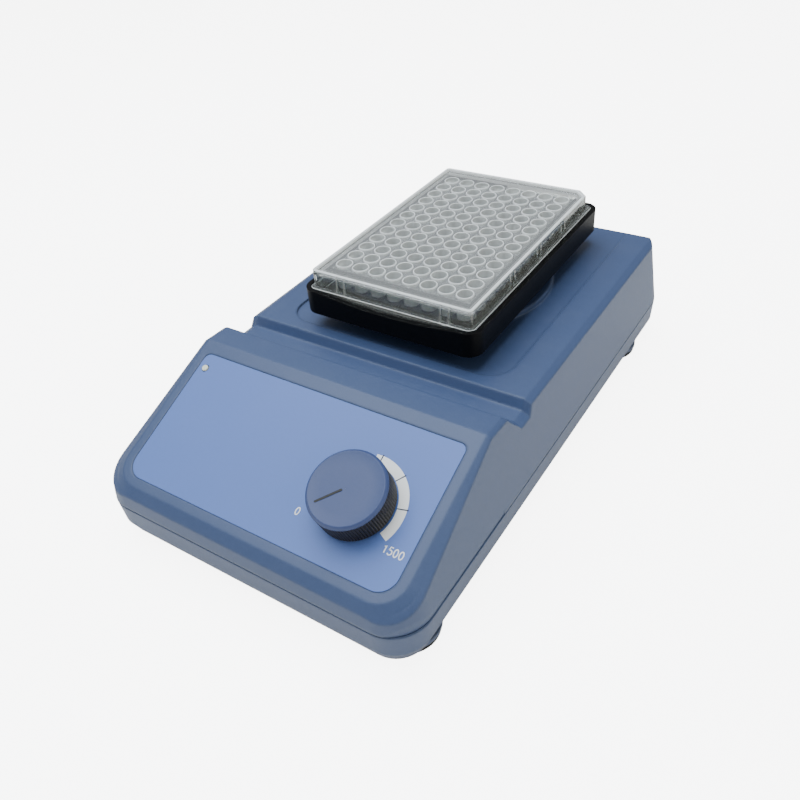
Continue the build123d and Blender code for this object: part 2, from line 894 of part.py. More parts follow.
def make_drive_screws():
    screws = []
    for x, y in drive_post_places:
        head_bottom = drive_plate_top + damper_cap_thickness
        head = rod(x, y, head_bottom, head_bottom + screw_head_height, screw_head_radius)
        shank = rod(x, y, head_bottom - drive_screw_length, head_bottom, case_screw_radius - 0.1)
        screws.append(head + shank)
    return screws


def make_motor_can():
    can = rod(0, spindle_y, motor_bottom, motor_top - motor_cap_thickness, motor_radius)
    can = fillet(can.edges().group_by(Axis.Z)[0], 1.5)
    can -= rod(0, spindle_y, motor_bottom + motor_wall, motor_top, motor_radius - motor_wall)
    can += rod(0, spindle_y, motor_bottom, motor_bottom + motor_bearing_height, motor_bearing_radius + 1.5)
    can -= rod(0, spindle_y, motor_bottom + motor_bearing_floor, motor_top, motor_bearing_radius)
    return can


def make_motor_cap():
    cap = rod(0, spindle_y, motor_top - motor_cap_thickness, motor_top, motor_radius)
    cap += rod(0, spindle_y, motor_top, drive_plate_top, motor_boss_radius)
    cap -= rod(0, spindle_y, 0, highest, motor_bearing_radius)
    for x, y in motor_screw_places():
        cap -= rod(x, y, 0, highest, motor_screw_radius + thread_bite)
    return cap


def make_motor_screws():
    screws = []
    for x, y in motor_screw_places():
        head = rod(x, y, drive_plate_top, drive_plate_top + motor_head_height, motor_head_radius)
        screws.append(head + rod(x, y, motor_top - motor_cap_thickness, drive_plate_top, motor_screw_radius))
    return screws


def make_motor_bearings():
    inner = motor_shaft_radius + shaft_clearance
    bottoms = (motor_bottom + motor_bearing_floor, drive_plate_top - motor_bearing_height)
    return [tube(0, spindle_y, z, z + motor_bearing_height, motor_bearing_radius, inner) for z in bottoms]


def stator_bottom():
    return (motor_bottom + motor_top - motor_cap_thickness - stator_thickness) / 2


def make_motor_stator():
    outer = motor_radius - motor_wall
    tip_inner = rotor_radius + stator_gap
    bottom = stator_bottom()
    top = bottom + stator_thickness
    stator = tube(0, 0, bottom, top, outer, outer - stator_ring)
    tip = tube(0, 0, bottom, top, tip_inner + shoe_thickness, tip_inner)
    for i in range(pole_count):
        turn = Rot(0, 0, 360.0 / pole_count * i)
        pole = block(tip_inner + shoe_thickness / 2, outer - stator_ring / 2, -pole_width / 2,
                     pole_width / 2, bottom, top)
        shoe = tip & turn * block(0, outer, -shoe_width / 2, shoe_width / 2, bottom, top)
        stator += turn * pole + shoe
    return Pos(0, spindle_y, 0) * stator


def make_motor_coils():
    bottom = stator_bottom() - coil_end_rise
    top = stator_bottom() + stator_thickness + coil_end_rise
    inner = rotor_radius + stator_gap + shoe_thickness + 0.3
    outer = motor_radius - motor_wall - stator_ring - coil_to_ring
    half = pole_width / 2 + coil_thickness
    coil = block(inner, outer, -half, half, bottom, top)
    coil -= block(inner - 1, outer + 1, -pole_width / 2, pole_width / 2, bottom + coil_end_rise,
                  top - coil_end_rise)
    return [Pos(0, spindle_y, 0) * Rot(0, 0, 360.0 / pole_count * i) * coil for i in range(pole_count)]


def make_idler_bushes():
    bushes = []
    for x, y in idler_places:
        bush = rod(x, y, drive_plate_top - idler_bush_length, drive_plate_top, idler_bush_radius)
        bush += rod(x, y, drive_plate_top, drive_plate_top + idler_flange_thickness, idler_bush_flange)
        bush -= rod(x, y, 0, highest, idler_journal_radius + shaft_clearance)
        bushes.append(bush)
    return bushes


# Spindle, turning in the motor


def turned(shape):
    return Pos(0, spindle_y, 0) * Rot(0, 0, orbit_phase) * shape


def make_motor_rotor():
    bottom = stator_bottom()
    rotor = tube(0, 0, bottom, bottom + stator_thickness, rotor_radius, motor_shaft_radius)
    for place in PolarLocations(rotor_hole_circle, rotor_hole_count, 45):
        rotor -= place * rod(0, 0, 0, highest, rotor_hole_radius)
    return Pos(0, spindle_y, 0) * rotor


def make_motor_shaft():
    bottom = motor_bottom + motor_bearing_floor + 0.3
    return rod(0, spindle_y, bottom, bearing_bottom - 1.0, motor_shaft_radius)


def make_eccentric_hub():
    hub = rod(0, 0, hub_bottom, bearing_bottom, hub_radius)
    hub += rod(0, 0, hub_bottom, hub_bottom + hub_flange_thickness, hub_flange_radius)
    hub += rod(orbit_radius, 0, bearing_bottom, bearing_top, journal_radius)
    hub -= rod(0, 0, 0, bearing_bottom - 1.0, motor_shaft_radius)
    hub -= rod(orbit_radius, 0, bearing_top - journal_screw_length, bearing_top + 1, journal_screw_radius)
    hub -= Pos(0, 0, grub_height()) * Rot(90, 0, 0) * Cylinder(grub_radius, 2 * hub_radius, align=standing)
    return turned(hub)


def grub_height():
    return (hub_bottom + hub_flange_thickness + bearing_bottom) / 2


def make_hub_grub_screw():
    length = hub_radius - motor_shaft_radius - 0.5
    pin = Rot(90, 0, 0) * Cylinder(grub_radius, length, align=standing)
    return turned(Pos(0, -motor_shaft_radius, grub_height()) * pin)


def make_counterweight():
    bottom = hub_bottom + hub_flange_thickness
    reach = counterweight_radius
    weight = tube(0, 0, bottom, bottom + counterweight_thickness, reach, hub_radius)
    weight &= block(-reach, -counterweight_edge, -reach, reach, bottom, highest)
    for x, y in counterweight_screw_places():
        weight -= rod(x, y, 0, highest, counterweight_screw_radius + thread_bite)
    return turned(weight)


def counterweight_screw_places():
    return [(-counterweight_screw_back, side * counterweight_screw_side) for side in (-1, 1)]


def make_counterweight_screws():
    top = hub_bottom + hub_flange_thickness + counterweight_thickness
    screws = []
    for x, y in counterweight_screw_places():
        head = rod(x, y, top, top + counterweight_head_height, counterweight_head_radius)
        screws.append(turned(head + rod(x, y, top - counterweight_thickness, top,
                                        counterweight_screw_radius)))
    return screws


def make_bearing_inner():
    return turned(tube(orbit_radius, 0, bearing_bottom, bearing_top, bearing_split_radius - 0.1,
                       journal_radius))


def make_journal_screw():
    washer_top = bearing_top + washer_thickness
    journal = rod(orbit_radius, 0, bearing_top, washer_top, washer_radius)
    journal += rod(orbit_radius, 0, washer_top, washer_top + journal_head_height, journal_head_radius)
    journal += rod(orbit_radius, 0, bearing_top - journal_screw_length, bearing_top, journal_screw_radius)
    return turned(journal)


def make_idler_crank(x, y):
    disc_bottom = drive_plate_top + idler_flange_thickness + idler_disc_gap
    disc_top = disc_bottom + idler_disc_thickness
    bush_bottom = drive_plate_top - idler_bush_length
    collar_top = bush_bottom - idler_collar_gap
    collar_bottom = collar_top - idler_collar
    pin_x = x + platform_x
    pin_y = y + platform_y - spindle_y
    crank = rod(x, y, collar_bottom, disc_bottom, idler_journal_radius)
    crank += rod(x, y, collar_bottom, collar_top, idler_journal_radius + idler_collar)
    crank += rod(x, y, disc_bottom, disc_top, idler_disc_radius)
    crank += rod(pin_x, pin_y, disc_top, carrier_top - 0.4, idler_pin_radius)
    return crank


# Platform


def make_bearing_outer():
    ring = tube(0, 0, bearing_bottom, bearing_top, bearing_outer_radius, bearing_split_radius)
    return in_platform * ring


def make_platform_carrier():
    corner = max(tray_corner_radius - tray_rim_inset, 1.0)
    boss_radius = carrier_bush_radius + carrier_bush_wall
    above = carrier_top + 1
    carrier = slab(carrier_width, carrier_length, corner, carrier_bottom, carrier_top)
    carrier += rod(0, 0, bearing_bottom, carrier_bottom, carrier_hub_radius)
    for x, y in idler_bores:
        carrier += rod(x, y, carrier_bottom - carrier_boss_height, carrier_bottom, boss_radius)
    carrier -= rod(0, 0, 0, bearing_top, bearing_outer_radius)
    carrier -= rod(0, 0, 0, above, bearing_outer_radius - carrier_shoulder_overlap)
    for x, y in idler_bores:
        carrier -= rod(x, y, 0, above, carrier_bush_radius)
    for x, y in tray_screw_places():
        carrier -= rod(x, y, 0, above, tray_screw_radius)
    window = slab(carrier_width - 2 * carrier_window_margin, carrier_window_depth, 4, carrier_bottom - 1,
                  above)
    for side in (-1, 1):
        carrier -= Pos(0, side * (carrier_length / 2 - carrier_window_from_end), 0) * window
    return in_platform * carrier


def make_carrier_bushes():
    bore = idler_pin_radius + idler_pin_clearance
    bottom = carrier_bottom - carrier_boss_height
    return [in_platform * tube(x, y, bottom, carrier_top - 0.2, carrier_bush_radius, bore)
            for x, y in idler_bores]


def tray_screw_places():
    return [(sx * tray_screw_x, sy * tray_screw_y) for sx in (-1, 1) for sy in (-1, 1)]


def make_tray():
    nest_width = plate_width + 2 * nest_clearance
    nest_length = plate_length + 2 * nest_clearance
    nest_corner = max(tray_corner_radius - tray_wall, 1.0)
    tray = slab(tray_width, tray_length, tray_corner_radius, tray_skirt_bottom, tray_top)
    tray -= slab(nest_width, nest_length, nest_corner, tray_floor_top, tray_top + 1)
    tray -= slab(nest_width, nest_length, nest_corner, tray_skirt_bottom - 1, carrier_top)
    tray += tray_rim()
    half = tray_dip_width / 2
    dip = ThreePointArc((-half, tray_top), (0, tray_top - tray_dip_depth), (half, tray_top))
    dip_face = make_face(Plane.XZ * (Curve() + dip + Line((half, tray_top), (-half, tray_top))))
    tray -= Pos(0, -tray_length / 2, 0) * extrude(dip_face, amount=tray_wall + nest_clearance, both=True)
    for x, y in tray_screw_places():
        tray -= Pos(x, y, tray_floor_top) * Cone(tray_screw_radius, 2 * tray_screw_radius, tray_floor,
                                                 align=hanging)
    return in_platform * tray


def tray_rim():
    # The lower rim, which sits over the carrier.
    width = tray_width - 2 * tray_rim_inset
    length = tray_length - 2 * tray_rim_inset
    corner = tray_corner_radius - tray_rim_wall
    inner_corner = max(corner - tray_rim_wall, 1.0)
    rim = slab(width, length, corner, tray_rim_bottom, carrier_top)
    rim -= slab(width - 2 * tray_rim_wall, length - 2 * tray_rim_wall, inner_corner, tray_rim_bottom - 1,
                carrier_top)
    return rim


def make_tray_screws():
    radius = tray_screw_radius - 0.05
    screws = []
    for x, y in tray_screw_places():
        head = Pos(x, y, tray_floor_top) * Cone(radius, radius + tray_screw_radius, tray_floor, align=hanging)
        screws.append(in_platform * (head + rod(x, y, carrier_bottom - 1, carrier_top, radius)))
    return screws


def make_tray_mat():
    width = plate_width - 2 * mat_clearance
    length = plate_length - 2 * mat_clearance
    return in_platform * slab(width, length, plate_corner_radius, tray_floor_top, plate_bottom)


def make_microplate():
    top = plate_top_height
    ledge = plate_bottom + flange_height
    width = plate_width - 2 * plate_body_inset
    length = plate_length - 2 * plate_body_inset
    corner = max(plate_corner_radius - plate_body_inset, 0.5)
    plate = slab(plate_width, plate_length, plate_corner_radius, plate_bottom, ledge)
    plate += slab(width, length, corner, ledge, top)
    plate -= slab(width - 2 * plate_wall, length - 2 * plate_wall, corner, ledge - 2,
                  top - plate_deck_thickness)
    plate -= slab(plate_width - 2 * flange_wall, plate_length - 2 * flange_wall,
                  plate_corner_radius - flange_wall,
                  plate_bottom - 1, ledge - flange_roof)
    wells = GridLocations(well_pitch, well_pitch, well_columns, well_rows)
    turn = 180.0 / well_sides
    outer = Sketch() + wells * (Rot(0, 0, turn) * RegularPolygon(well_radius + well_wall, well_sides))
    hollow = Sketch() + wells * (Rot(0, 0, turn) * RegularPolygon(well_radius, well_sides))
    well_bottom = top - well_depth - well_floor
    well_reach = well_depth + well_floor - plate_deck_thickness / 2
    plate += Pos(0, 0, well_bottom) * extrude(outer, amount=well_reach)
    plate -= Pos(0, 0, top - well_depth) * extrude(hollow, amount=well_depth + 1)
    return in_platform * plate


# Rear panel


def make_rear_panel():
    half = rear_window_width / 2 + rear_panel_capture
    panel = block(-half, half, rear_face - rear_panel_thickness, rear_face,
                  rear_window_bottom - rear_panel_capture, rear_window_top + rear_panel_capture)
    panel -= across(inlet_x, inlet_z, inlet_body_width + 0.4, inlet_body_height + 0.4, 0, body_back)
    panel -= across(switch_x, inlet_z, switch_body_width + 0.2, switch_body_height + 0.2, 0, body_back)
    for x in inlet_screw_places():
        panel -= back_to_front(x, body_back, inlet_z, inlet_screw_radius + 0.1, 20)
    return panel


def inlet_screw_places():
    return [inlet_x - inlet_screw_spacing / 2, inlet_x + inlet_screw_spacing / 2]


def make_mains_inlet():
    flange = across(inlet_x, inlet_z, inlet_flange_width, inlet_flange_height, rear_face, inlet_mouth)
    inlet = fillet(flange.edges().filter_by(Axis.Y), inlet_corner_radius)
    inlet += across(inlet_x, inlet_z, inlet_body_width, inlet_body_height, rear_face - inlet_body_depth,
                    rear_face)
    outline = Rectangle(socket_width, socket_height)
    outline = chamfer(outline.vertices().group_by(Axis.Y)[-1], socket_corner)
    socket = Rot(90, 0, 0) * extrude(outline, amount=socket_depth)
    inlet -= Pos(inlet_x, inlet_mouth, inlet_z + socket_up) * socket
    spare = 2 * drawer_clearance
    inlet -= across(inlet_x, drawer_z, drawer_width + spare, drawer_height + spare,
                    inlet_mouth - drawer_depth - drawer_clearance, inlet_mouth + 1)
    for x, up in inlet_pin_places():
        inlet -= across(x, inlet_z + up, pin_width, pin_height, 0, inlet_mouth)
    for x in inlet_screw_places():
        inlet -= back_to_front(x, body_back, inlet_z, inlet_screw_radius + 0.2, 20)
    return inlet


def inlet_pin_places():
    low = socket_up - pin_row_down
    half = pin_spacing / 2
    return [(inlet_x - half, low), (inlet_x + half, low), (inlet_x, low + middle_pin_up)]


def make_inlet_pins():
    tail = rear_face - inlet_body_depth - pin_tail
    return [across(x, inlet_z + up, pin_width, pin_height, tail, inlet_mouth - pin_recess)
            for x, up in inlet_pin_places()]


def make_inlet_screws():
    nut = extrude(RegularPolygon(inlet_nut_across_flats / 2, 6, major_radius=False),
                  amount=inlet_nut_thickness)
    screws = []
    for x in inlet_screw_places():
        shape = back_to_front(x, inlet_mouth + inlet_head_height, inlet_z, inlet_head_radius,
                              inlet_head_height)
        shape += back_to_front(x, inlet_mouth, inlet_z, inlet_screw_radius, inlet_screw_length)
        shape += Pos(x, rear_face - rear_panel_thickness, inlet_z) * Rot(90, 0, 0) * nut
        screws.append(shape)
    return screws


def make_fuse_drawer():
    face_front = inlet_mouth + drawer_face_gap
    face_width = drawer_width + 2 * drawer_face_side
    face_height = drawer_height + 2 * drawer_face_edge
    bore = fuse_radius + fuse_clearance
    middle = inlet_mouth - fuse_from_face
    drawer = across(inlet_x, drawer_z, drawer_width, drawer_height, inlet_mouth - drawer_depth, face_front)
    drawer += across(inlet_x, drawer_z, face_width, face_height, face_front, face_front + drawer_face)
    drawer -= across(inlet_x, drawer_z, fuse_length + 2 * fuse_clearance, 2 * bore, middle - bore,
                     middle + bore)
    return drawer


def make_fuse():
    tube_fuse = Rot(0, 90, 0) * Cylinder(fuse_radius, fuse_length)
    return Pos(inlet_x, inlet_mouth - fuse_from_face, drawer_z) * tube_fuse


def make_switch_frame():
    flange_back = rear_face + switch_flange_thickness
    body_end = rear_face - switch_body_depth
    slot_width = rocker_width + 2 * rocker_clearance
    slot_radius = rocker_radius + rocker_clearance
    turn = Pos(switch_x, rear_face, inlet_z) * Rot(0, 90, 0)
    frame = across(switch_x, inlet_z, switch_flange_width, switch_flange_height, rear_face, flange_back)
    frame = fillet(frame.edges().filter_by(Axis.Y), switch_corner_radius)
    frame += across(switch_x, inlet_z, switch_body_width, switch_body_height, body_end, rear_face)
    frame -= turn * Cylinder(slot_radius, slot_width)
    frame -= across(switch_x, inlet_z, slot_width, 2 * slot_radius, rear_face, body_back)
    frame -= turn * Cylinder(rocker_pin_radius + shaft_clearance, rocker_width + 2 * rocker_pin_reach + 0.4)
    for side in (-1, 1):
        frame += across(switch_x, inlet_z + side * switch_tab_up, switch_tab_width, switch_tab_thickness,
                        body_end - switch_tab_length, body_end)
    return frame


def make_switch_rocker():
    reach = 2 * rocker_radius
    rise = rocker_rise + reach * tan(radians(rocker_tilt))
    wedge = Polyline([(-reach, -reach), (rise, -reach), (rocker_rise, 0), (rise, reach),
                      (-reach, reach)], close=True)
    rocker = Rot(0, 90, 0) * Cylinder(rocker_radius, rocker_width)
    rocker &= extrude(make_face(Plane.YZ * wedge), amount=rocker_width, both=True)
    rocker += Rot(0, 90, 0) * Cylinder(rocker_pin_radius, rocker_width + 2 * rocker_pin_reach)
    return Pos(switch_x, rear_face, inlet_z) * Rot(rocker_tilt, 0, 0) * rocker


# Power supply


def supply_post_places():
    half = supply_width / 2 - board_post_inset
    return [(side * half, y) for side in (-1, 1) for y in (supply_front + board_post_inset,
                                                           supply_back - board_post_inset)]


def make_supply_board():
    bottom = supply_top() - board_thickness
    board = block(-supply_width / 2, supply_width / 2, supply_front, supply_back, bottom, supply_top())
    for x, y in supply_post_places():
        board -= rod(x, y, 0, highest, board_screw_radius + 0.2)
    return board


def supply_top():
    return floor_top + supply_post_height + board_thickness


def make_supply_screws():
    screws = []
    for x, y in supply_post_places():
        head = rod(x, y, supply_top(), supply_top() + board_head_height, board_head_radius)
        screws.append(head + rod(x, y, supply_top() - board_screw_length, supply_top(),
                                 board_screw_radius - 0.1))
    return screws


def make_transformer_core():
    left = transformer_x - transformer_width / 2
    half = transformer_depth / 2 - coil_overhang
    bottom = supply_top()
    top = bottom + transformer_height
    leg = transformer_leg
    window = (transformer_width - 4 * leg) / 2
    core = block(left, left + transformer_width, supply_middle - half, supply_middle + half, bottom, top)
    for start in (left + leg, transformer_x + leg):
        core -= block(start, start + window, body_front, body_back, bottom + leg, top - leg)
    return core


def make_transformer_coil():
    half_width = transformer_width / 2 - transformer_leg
    half = transformer_depth / 2
    hole = half - coil_overhang
    leg = transformer_leg
    bottom = supply_top() + leg
    top = supply_top() + transformer_height - leg
    coil = block(transformer_x - half_width, transformer_x + half_width, supply_middle - half,
                 supply_middle + half, bottom, top)
    coil -= block(transformer_x - leg, transformer_x + leg, supply_middle - hole, supply_middle + hole,
                  bottom - 1, top + 1)
    return coil


def make_supply_parts():
    bottom = supply_top()
    parts = []
    for x in capacitor_places:
        capacitor = rod(x, supply_front + capacitor_from_edge, bottom, bottom + capacitor_height,
                        capacitor_radius)
        parts.append(fillet(capacitor.edges().group_by(Axis.Z)[-1], 0.8))
    front = supply_front + sink_from_edge
    fin_end = front + sink_fin_length
    sink = block(sink_left, sink_left + sink_width, fin_end, fin_end + sink_back, bottom,
                 bottom + sink_height)
    pitch = (sink_width - sink_fin_thickness) / (sink_fin_count - 1)
    for i in range(sink_fin_count):
        x = sink_left + i * pitch
        sink += block(x, x + sink_fin_thickness, front, fin_end, bottom, bottom + sink_height)
    parts.append(sink)
    return parts


def write(name, shape):
    if isinstance(shape, list):
        shape = group(shape)
    export_step(shape, "parts/" + name + ".step")


def main():
    os.makedirs("parts", exist_ok=True)
    write("base_housing", make_base_housing())
    write("upper_housing", make_upper_housing())
    write("housing_screws", make_housing_screws())
    write("rubber_feet", make_rubber_feet())
    write("foot_screws", make_foot_screws())
    write("panel_overlay", make_panel_overlay())
    write("power_lamp", make_power_lamp())
    write("control_board", make_control_board())
    write("board_screws", make_board_screws())
    write("board_parts", make_board_parts())
    write("potentiometer_body", make_pot_body())
    write("potentiometer_nut", make_pot_nut())
    write("potentiometer_shaft", make_pot_shaft())
    write("speed_knob", make_speed_knob())
    write("knob_cap", make_knob_cap())
    write("knob_pointer", make_knob_pointer())
    write("drive_plate", make_drive_plate())
    write("drive_dampers", make_drive_dampers())
    write("drive_screws", make_drive_screws())
    write("motor_can", make_motor_can())
    write("motor_cap", make_motor_cap())
    write("motor_screws", make_motor_screws())
    write("motor_bearings", make_motor_bearings())
    write("motor_stator", make_motor_stator())
    write("motor_coils", make_motor_coils())
    write("idler_bushes", make_idler_bushes())
    write("motor_rotor", make_motor_rotor())
    write("motor_shaft", make_motor_shaft())
    write("eccentric_hub", make_eccentric_hub())
    write("hub_grub_screw", make_hub_grub_screw())
    write("counterweight", make_counterweight())
    write("counterweight_screws", make_counterweight_screws())
    write("bearing_inner_ring", make_bearing_inner())
    write("journal_screw", make_journal_screw())
    for number, (x, y) in enumerate(idler_places, start=1):
        write(f"idler_crank_{number}", make_idler_crank(x, y))
    write("bearing_outer_ring", make_bearing_outer())
    write("platform_carrier", make_platform_carrier())
    write("carrier_bushes", make_carrier_bushes())
    write("plate_tray", make_tray())
    write("tray_screws", make_tray_screws())
    write("tray_mat", make_tray_mat())
    write("microplate", make_microplate())
    write("rear_panel", make_rear_panel())
    write("mains_inlet", make_mains_inlet())
    write("inlet_pins", make_inlet_pins())
    write("inlet_screws", make_inlet_screws())
    write("fuse_drawer", make_fuse_drawer())
    write("fuse", make_fuse())
    write("switch_frame", make_switch_frame())
    write("switch_rocker", make_switch_rocker())
    write("supply_board", make_supply_board())
    write("supply_screws", make_supply_screws())
    write("supply_parts", make_supply_parts())
    write("transformer_core", make_transformer_core())
    write("transformer_coil", make_transformer_coil())


main()
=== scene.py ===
import json
import math
import bmesh
import bpy
import numpy as np
from mathutils import Matrix, Vector


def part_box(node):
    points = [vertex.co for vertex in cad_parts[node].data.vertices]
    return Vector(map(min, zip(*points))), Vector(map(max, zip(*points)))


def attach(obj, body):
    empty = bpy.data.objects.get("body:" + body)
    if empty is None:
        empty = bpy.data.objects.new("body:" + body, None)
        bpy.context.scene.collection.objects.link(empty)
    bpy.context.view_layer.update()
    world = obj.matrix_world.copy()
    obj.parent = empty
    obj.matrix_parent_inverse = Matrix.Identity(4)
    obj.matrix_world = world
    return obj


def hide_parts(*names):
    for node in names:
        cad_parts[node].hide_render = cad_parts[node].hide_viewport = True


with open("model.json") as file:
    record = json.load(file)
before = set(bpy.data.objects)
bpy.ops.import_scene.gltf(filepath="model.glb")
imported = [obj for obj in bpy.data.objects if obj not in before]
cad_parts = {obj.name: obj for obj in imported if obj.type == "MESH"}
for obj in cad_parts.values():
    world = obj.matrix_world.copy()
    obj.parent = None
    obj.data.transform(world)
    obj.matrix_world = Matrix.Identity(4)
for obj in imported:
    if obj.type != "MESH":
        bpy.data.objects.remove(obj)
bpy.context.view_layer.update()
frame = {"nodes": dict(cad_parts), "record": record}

nodes = frame["nodes"]
print("frame loaded:", len(nodes), "nodes")

mm = 0.001


def lowHigh(name):
    low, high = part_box(name)
    return np.array(low), np.array(high)


# Shared mesh helpers

def makePiece(name, points, faces, body, material, smooth=True, weld=0.0):
    mesh = bpy.data.meshes.new(name)
    faceList = faces if isinstance(faces, list) else faces.tolist()
    mesh.from_pydata(np.asarray(points).tolist(), [], faceList)
    mesh.validate()
    obj = bpy.data.objects.new(name, mesh)
    bpy.context.scene.collection.objects.link(obj)
    fixNormals(obj, weld)
    mesh.polygons.foreach_set("use_smooth", np.full(len(mesh.polygons), smooth))
    mesh.materials.append(material)
    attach(obj, body)
    return obj


def fixNormals(obj, weld):
    # Merges doubles where a weld distance is given, then turns all faces outwards.
    work = bmesh.new()
    work.from_mesh(obj.data)
    if weld > 0:
        bmesh.ops.remove_doubles(work, verts=work.verts, dist=weld)
    bmesh.ops.recalc_face_normals(work, faces=work.faces)
    work.to_mesh(obj.data)
    work.free()


def splitByAngle(obj, degrees):
    obj.data.set_sharp_from_angle(angle=math.radians(degrees))


def gridFaces(rows, cols):
    # Four-sided faces between rows of points; each row closes on itself.
    r, c = np.meshgrid(np.arange(rows - 1), np.arange(cols), indexing="ij")
    a = r * cols + c
    b = r * cols + (c + 1) % cols
    return np.stack([a, b, b + cols, a + cols], -1).reshape(-1, 4)


def joinParts(parts):
    # One list of points and one of faces from many small parts.
    points, faces, offset = [], [], 0
    for partPoints, partFaces in parts:
        points.append(np.asarray(partPoints, float))
        faces.extend([[int(i) + offset for i in face] for face in partFaces])
        offset += len(partPoints)
    return np.concatenate(points), faces


panel = {"front": (-127.0, 31.75), "slope": 22.7, "overlayLevel": -0.15}


def onPanel(points):
    # Panel coordinates (right, up the slope, out) in mm become frame coordinates in metres.
    p = np.asarray(points, float)
    slope = math.radians(panel["slope"])
    y = panel["front"][0] + p[:, 1] * math.cos(slope) - p[:, 2] * math.sin(slope)
    z = panel["front"][1] + p[:, 1] * math.sin(slope) + p[:, 2] * math.cos(slope)
    return np.stack([p[:, 0], y, z], 1) * mm


# Material helpers

def newMaterial(name):
    material = bpy.data.materials.new(name)
    material.use_nodes = True
    tree = material.node_tree
    tree.nodes.clear()
    output = tree.nodes.new("ShaderNodeOutputMaterial")
    shader = tree.nodes.new("ShaderNodeBsdfPrincipled")
    tree.links.new(shader.outputs[0], output.inputs[0])
    coords = tree.nodes.new("ShaderNodeTexCoord")
    return material, tree, shader, coords


def makeGroup(name, inputs, outputs):
    group = bpy.data.node_groups.new(name, "ShaderNodeTree")
    for label, kind, value in inputs:
        socket = group.interface.new_socket(label, in_out="INPUT", socket_type=kind)
        if value is not None:
            socket.default_value = value
    for label, kind in outputs:
        group.interface.new_socket(label, in_out="OUTPUT", socket_type=kind)
    return group, group.nodes.new("NodeGroupInput"), group.nodes.new("NodeGroupOutput")


def mathNode(tree, operation, a, b=None, clamp=False):
    node = tree.nodes.new("ShaderNodeMath")
    node.operation = operation
    node.use_clamp = clamp
    for index, value in enumerate((a, b)):
        if value is None:
            continue
        if isinstance(value, (int, float)):
            node.inputs[index].default_value = value
        else:
            tree.links.new(value, node.inputs[index])
    return node.outputs[0]


def mixColor(tree, factor, a, b):
    node = tree.nodes.new("ShaderNodeMix")
    node.data_type = "RGBA"
    for socket, value in ((node.inputs[0], factor), (node.inputs[6], a), (node.inputs[7], b)):
        if isinstance(value, (int, float)):
            socket.default_value = value
        elif isinstance(value, (tuple, list)):
            socket.default_value = (*value[:3], 1.0)
        else:
            tree.links.new(value, socket)
    return node.outputs[2]


def grainGroup():
    # Fine moulded grain: two noises of different size are added and bent into a small bump.
    group, entry, leave = makeGroup(
        "mouldedGrain",
        [("Vector", "NodeSocketVector", None), ("Scale", "NodeSocketFloat", 900.0),
         ("Strength", "NodeSocketFloat", 0.15), ("Normal", "NodeSocketVector", None)],
        [("Mask", "NodeSocketFloat"), ("Normal", "NodeSocketVector")])
    fine = group.nodes.new("ShaderNodeTexNoise")
    fine.inputs["Detail"].default_value = 3.0
    fine.inputs["Roughness"].default_value = 0.6
    coarse = group.nodes.new("ShaderNodeTexNoise")
    coarse.inputs["Detail"].default_value = 1.0
    quarter = mathNode(group, "MULTIPLY", entry.outputs["Scale"], 0.25)
    group.links.new(entry.outputs["Vector"], fine.inputs["Vector"])
    group.links.new(entry.outputs["Scale"], fine.inputs["Scale"])
    group.links.new(entry.outputs["Vector"], coarse.inputs["Vector"])
    group.links.new(quarter, coarse.inputs["Scale"])
    total = mathNode(group, "ADD", fine.outputs[0], mathNode(group, "MULTIPLY", coarse.outputs[0], 0.5))
    bump = group.nodes.new("ShaderNodeBump")
    bump.inputs["Distance"].default_value = 0.0002
    group.links.new(entry.outputs["Strength"], bump.inputs["Strength"])
    group.links.new(total, bump.inputs["Height"])
    group.links.new(entry.outputs["Normal"], bump.inputs["Normal"])
    group.links.new(mathNode(group, "MULTIPLY", total, 0.66), leave.inputs["Mask"])
    group.links.new(bump.outputs[0], leave.inputs["Normal"])
    return group


def edgeGroup():
    # Edge mask, used for wear and a painted edge highlight: one minus the dot product of the
    # rounded normal and the true one, made stronger and clamped.
    group, entry, leave = makeGroup(
        "softEdge",
        [("Radius", "NodeSocketFloat", 0.001), ("Gain", "NodeSocketFloat", 3.0)],
        [("Edge", "NodeSocketFloat"), ("Normal", "NodeSocketVector")])
    bevel = group.nodes.new("ShaderNodeBevel")
    bevel.samples = 6
    geometry = group.nodes.new("ShaderNodeNewGeometry")
    dot = group.nodes.new("ShaderNodeVectorMath")
    dot.operation = "DOT_PRODUCT"
    group.links.new(entry.outputs["Radius"], bevel.inputs["Radius"])
    group.links.new(bevel.outputs[0], dot.inputs[0])
    group.links.new(geometry.outputs["Normal"], dot.inputs[1])
    rest = mathNode(group, "SUBTRACT", 1.0, dot.outputs["Value"])
    group.links.new(mathNode(group, "MULTIPLY", rest, entry.outputs["Gain"], True), leave.inputs["Edge"])
    group.links.new(bevel.outputs[0], leave.inputs["Normal"])
    return group


def dustGroup():
    # Dust: soft noise above a threshold, kept where the surface faces up.
    group, entry, leave = makeGroup(
        "lightDust",
        [("Vector", "NodeSocketVector", None), ("Scale", "NodeSocketFloat", 60.0),
         ("Amount", "NodeSocketFloat", 0.2)],
        [("Mask", "NodeSocketFloat")])
    noise = group.nodes.new("ShaderNodeTexNoise")
    noise.inputs["Detail"].default_value = 5.0
    geometry = group.nodes.new("ShaderNodeNewGeometry")
    split = group.nodes.new("ShaderNodeSeparateXYZ")
    group.links.new(entry.outputs["Vector"], noise.inputs["Vector"])
    group.links.new(entry.outputs["Scale"], noise.inputs["Scale"])
    group.links.new(geometry.outputs["Normal"], split.inputs[0])
    above = mathNode(group, "SUBTRACT", noise.outputs[0], 0.45, True)
    upward = mathNode(group, "MAXIMUM", split.outputs[2], 0.0)
    both = mathNode(group, "MULTIPLY", above, upward)
    group.links.new(mathNode(group, "MULTIPLY", both, entry.outputs["Amount"], True), leave.inputs["Mask"])
    return group


grain = grainGroup()
softEdge = edgeGroup()
dust = dustGroup()


